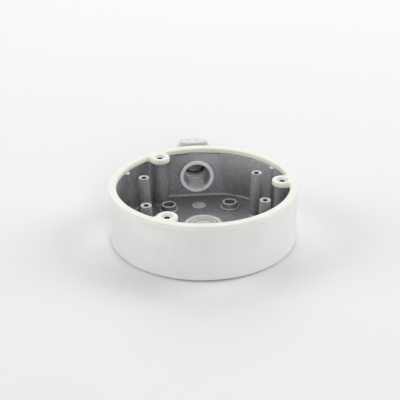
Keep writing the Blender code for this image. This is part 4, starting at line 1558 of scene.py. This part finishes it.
@dataclass
class Studio:
    """Pale floor, plain soft light and the camera at the photo's angle."""

    camera_place: Point = (-54.9, -667.65, 357.2)
    elevation: float = 26.24
    turn: float = 4.5
    roll: float = -0.61
    lens: float = 92.97
    shift: float = 0.0025
    paper: Colour = (0.80, 0.80, 0.80)
    paper_level: float = -0.0011
    white: float = 0.92
    fade_reach: Pair = (0.75, 1.6)
    soft_light: float = 0.22
    backdrop: float = 0.97
    lamps: tuple[Lamp, ...] = (Lamp("back", (0.0, 1.3, 1.1), 1.2, 11.9),
                               Lamp("front", (0.2, -1.5, 0.7), 0.6, 8.3),
                               Lamp("left", (-1.4, 0.1, 0.85), 1.0, 12.3),
                               Lamp("right", (1.35, 0.2, 1.0), 1.0, 13.9))

    @staticmethod
    def seen(tree: bpy.types.NodeTree) -> Socket:
        """Give 1 for camera, glossy and transmission rays and 0 for rays that light the object.

        Args:
            tree: Nodes of the world or of a material.

        Returns:
            The value.
        """
        path = tree.nodes.new("ShaderNodeLightPath")
        seen = path.outputs["Is Camera Ray"]
        for ray in ("Is Glossy Ray", "Is Transmission Ray"):
            seen = combined(tree, Combine.LARGER, seen, path.outputs[ray])
        return seen

    def fade(self, graph: Graph) -> None:
        """Let the floor turn into plain white far from the box, on every side.

        Args:
            graph: Nodes of the floor's paper.
        """
        far = graph.spread(graph.length(graph.place), 0.0, 1.0, self.fade_reach)
        share = combined(graph.tree, Combine.PRODUCT, far, self.seen(graph.tree))
        white = graph.nodes.new("ShaderNodeEmission")
        white.inputs["Strength"].default_value = self.white
        blend = graph.nodes.new("ShaderNodeMixShader")
        for index, source in enumerate((share, graph.shader.outputs[0], white.outputs[0])):
            graph.links.new(source, blend.inputs[index])
        graph.links.new(blend.outputs[0], graph.nodes["Material Output"].inputs["Surface"])

    def stage(self) -> None:
        """Lay the floor, which bends up into the backdrop."""
        bend = [radians(90) * step / 8 for step in range(1, 9)]
        side = [(-3.0, self.paper_level), (2.5, self.paper_level)]
        side += [(2.5 + sin(a), 1 - cos(a)) for a in bend] + [(3.5, 4.0)]
        bm = bmesh.new()
        rows = [[bm.verts.new((x, y, z)) for x in (-6.0, 6.0)] for y, z in side]
        for low, high in zip(rows, rows[1:]):
            bm.faces.new((low[0], low[1], high[1], high[0]))
        mesh = bpy.data.meshes.new("sweep")
        bm.to_mesh(mesh)
        bm.free()
        floor = put_in_scene("sweep", mesh)
        mesh.shade_smooth()
        graph = Graph("sweep_paper", 0.75)
        graph.shader.inputs["Base Color"].default_value = (*self.paper, 1.0)
        self.fade(graph)
        mesh.materials.append(graph.material)

    def light(self) -> None:
        """Set the soft world light and hang the lamps."""
        world = bpy.data.worlds.new("studio")
        world.use_nodes = True
        bpy.context.scene.world = world
        nodes, links = world.node_tree.nodes, world.node_tree.links
        background = nodes["Background"]
        background.inputs["Color"].default_value = (1.0, 1.0, 1.0, 1.0)
        level = nodes.new("ShaderNodeMapRange")
        level.inputs["To Min"].default_value = self.soft_light
        level.inputs["To Max"].default_value = self.backdrop
        links.new(self.seen(world.node_tree), level.inputs["Value"])
        links.new(level.outputs["Result"], background.inputs["Strength"])
        for lamp in self.lamps:
            lamp.hang()

    def camera(self) -> None:
        """Set the camera."""
        data = bpy.data.cameras.new("view")
        data.sensor_width = 36.0
        data.lens = self.lens
        data.shift_y = self.shift
        data.clip_start = 0.05
        data.clip_end = 50.0
        camera = put_in_scene("view", data)
        about_z = Matrix.Rotation(radians(-self.turn), 4, "Z")
        tilt = Matrix.Rotation(radians(90 - self.elevation), 4, "X")
        lean = Matrix.Rotation(radians(self.roll), 4, "Z")
        place = Matrix.Translation(Vector(self.camera_place) * METRES)
        camera.matrix_world = place @ about_z @ tilt @ lean
        bpy.context.scene.camera = camera

    def build(self) -> None:
        """Set up the studio."""
        self.stage()
        self.light()
        self.camera()
        bpy.context.scene.view_settings.view_transform = "Standard"


def report(piece: bpy.types.Object) -> None:
    """Log a piece's name and number of faces."""
    LOG.info("%s: %d faces", piece.name, len(piece.data.polygons))


def main() -> None:
    """Build every piece in order and report it."""
    logging.basicConfig(level=logging.INFO, format="%(name)s: %(message)s")
    Studio().build()
    report(Housing().build())
    report(RimGasket().build())
    for piece in CableGland().build() + BasePlug().build():
        report(piece)


if __name__ == "__main__":
    main()
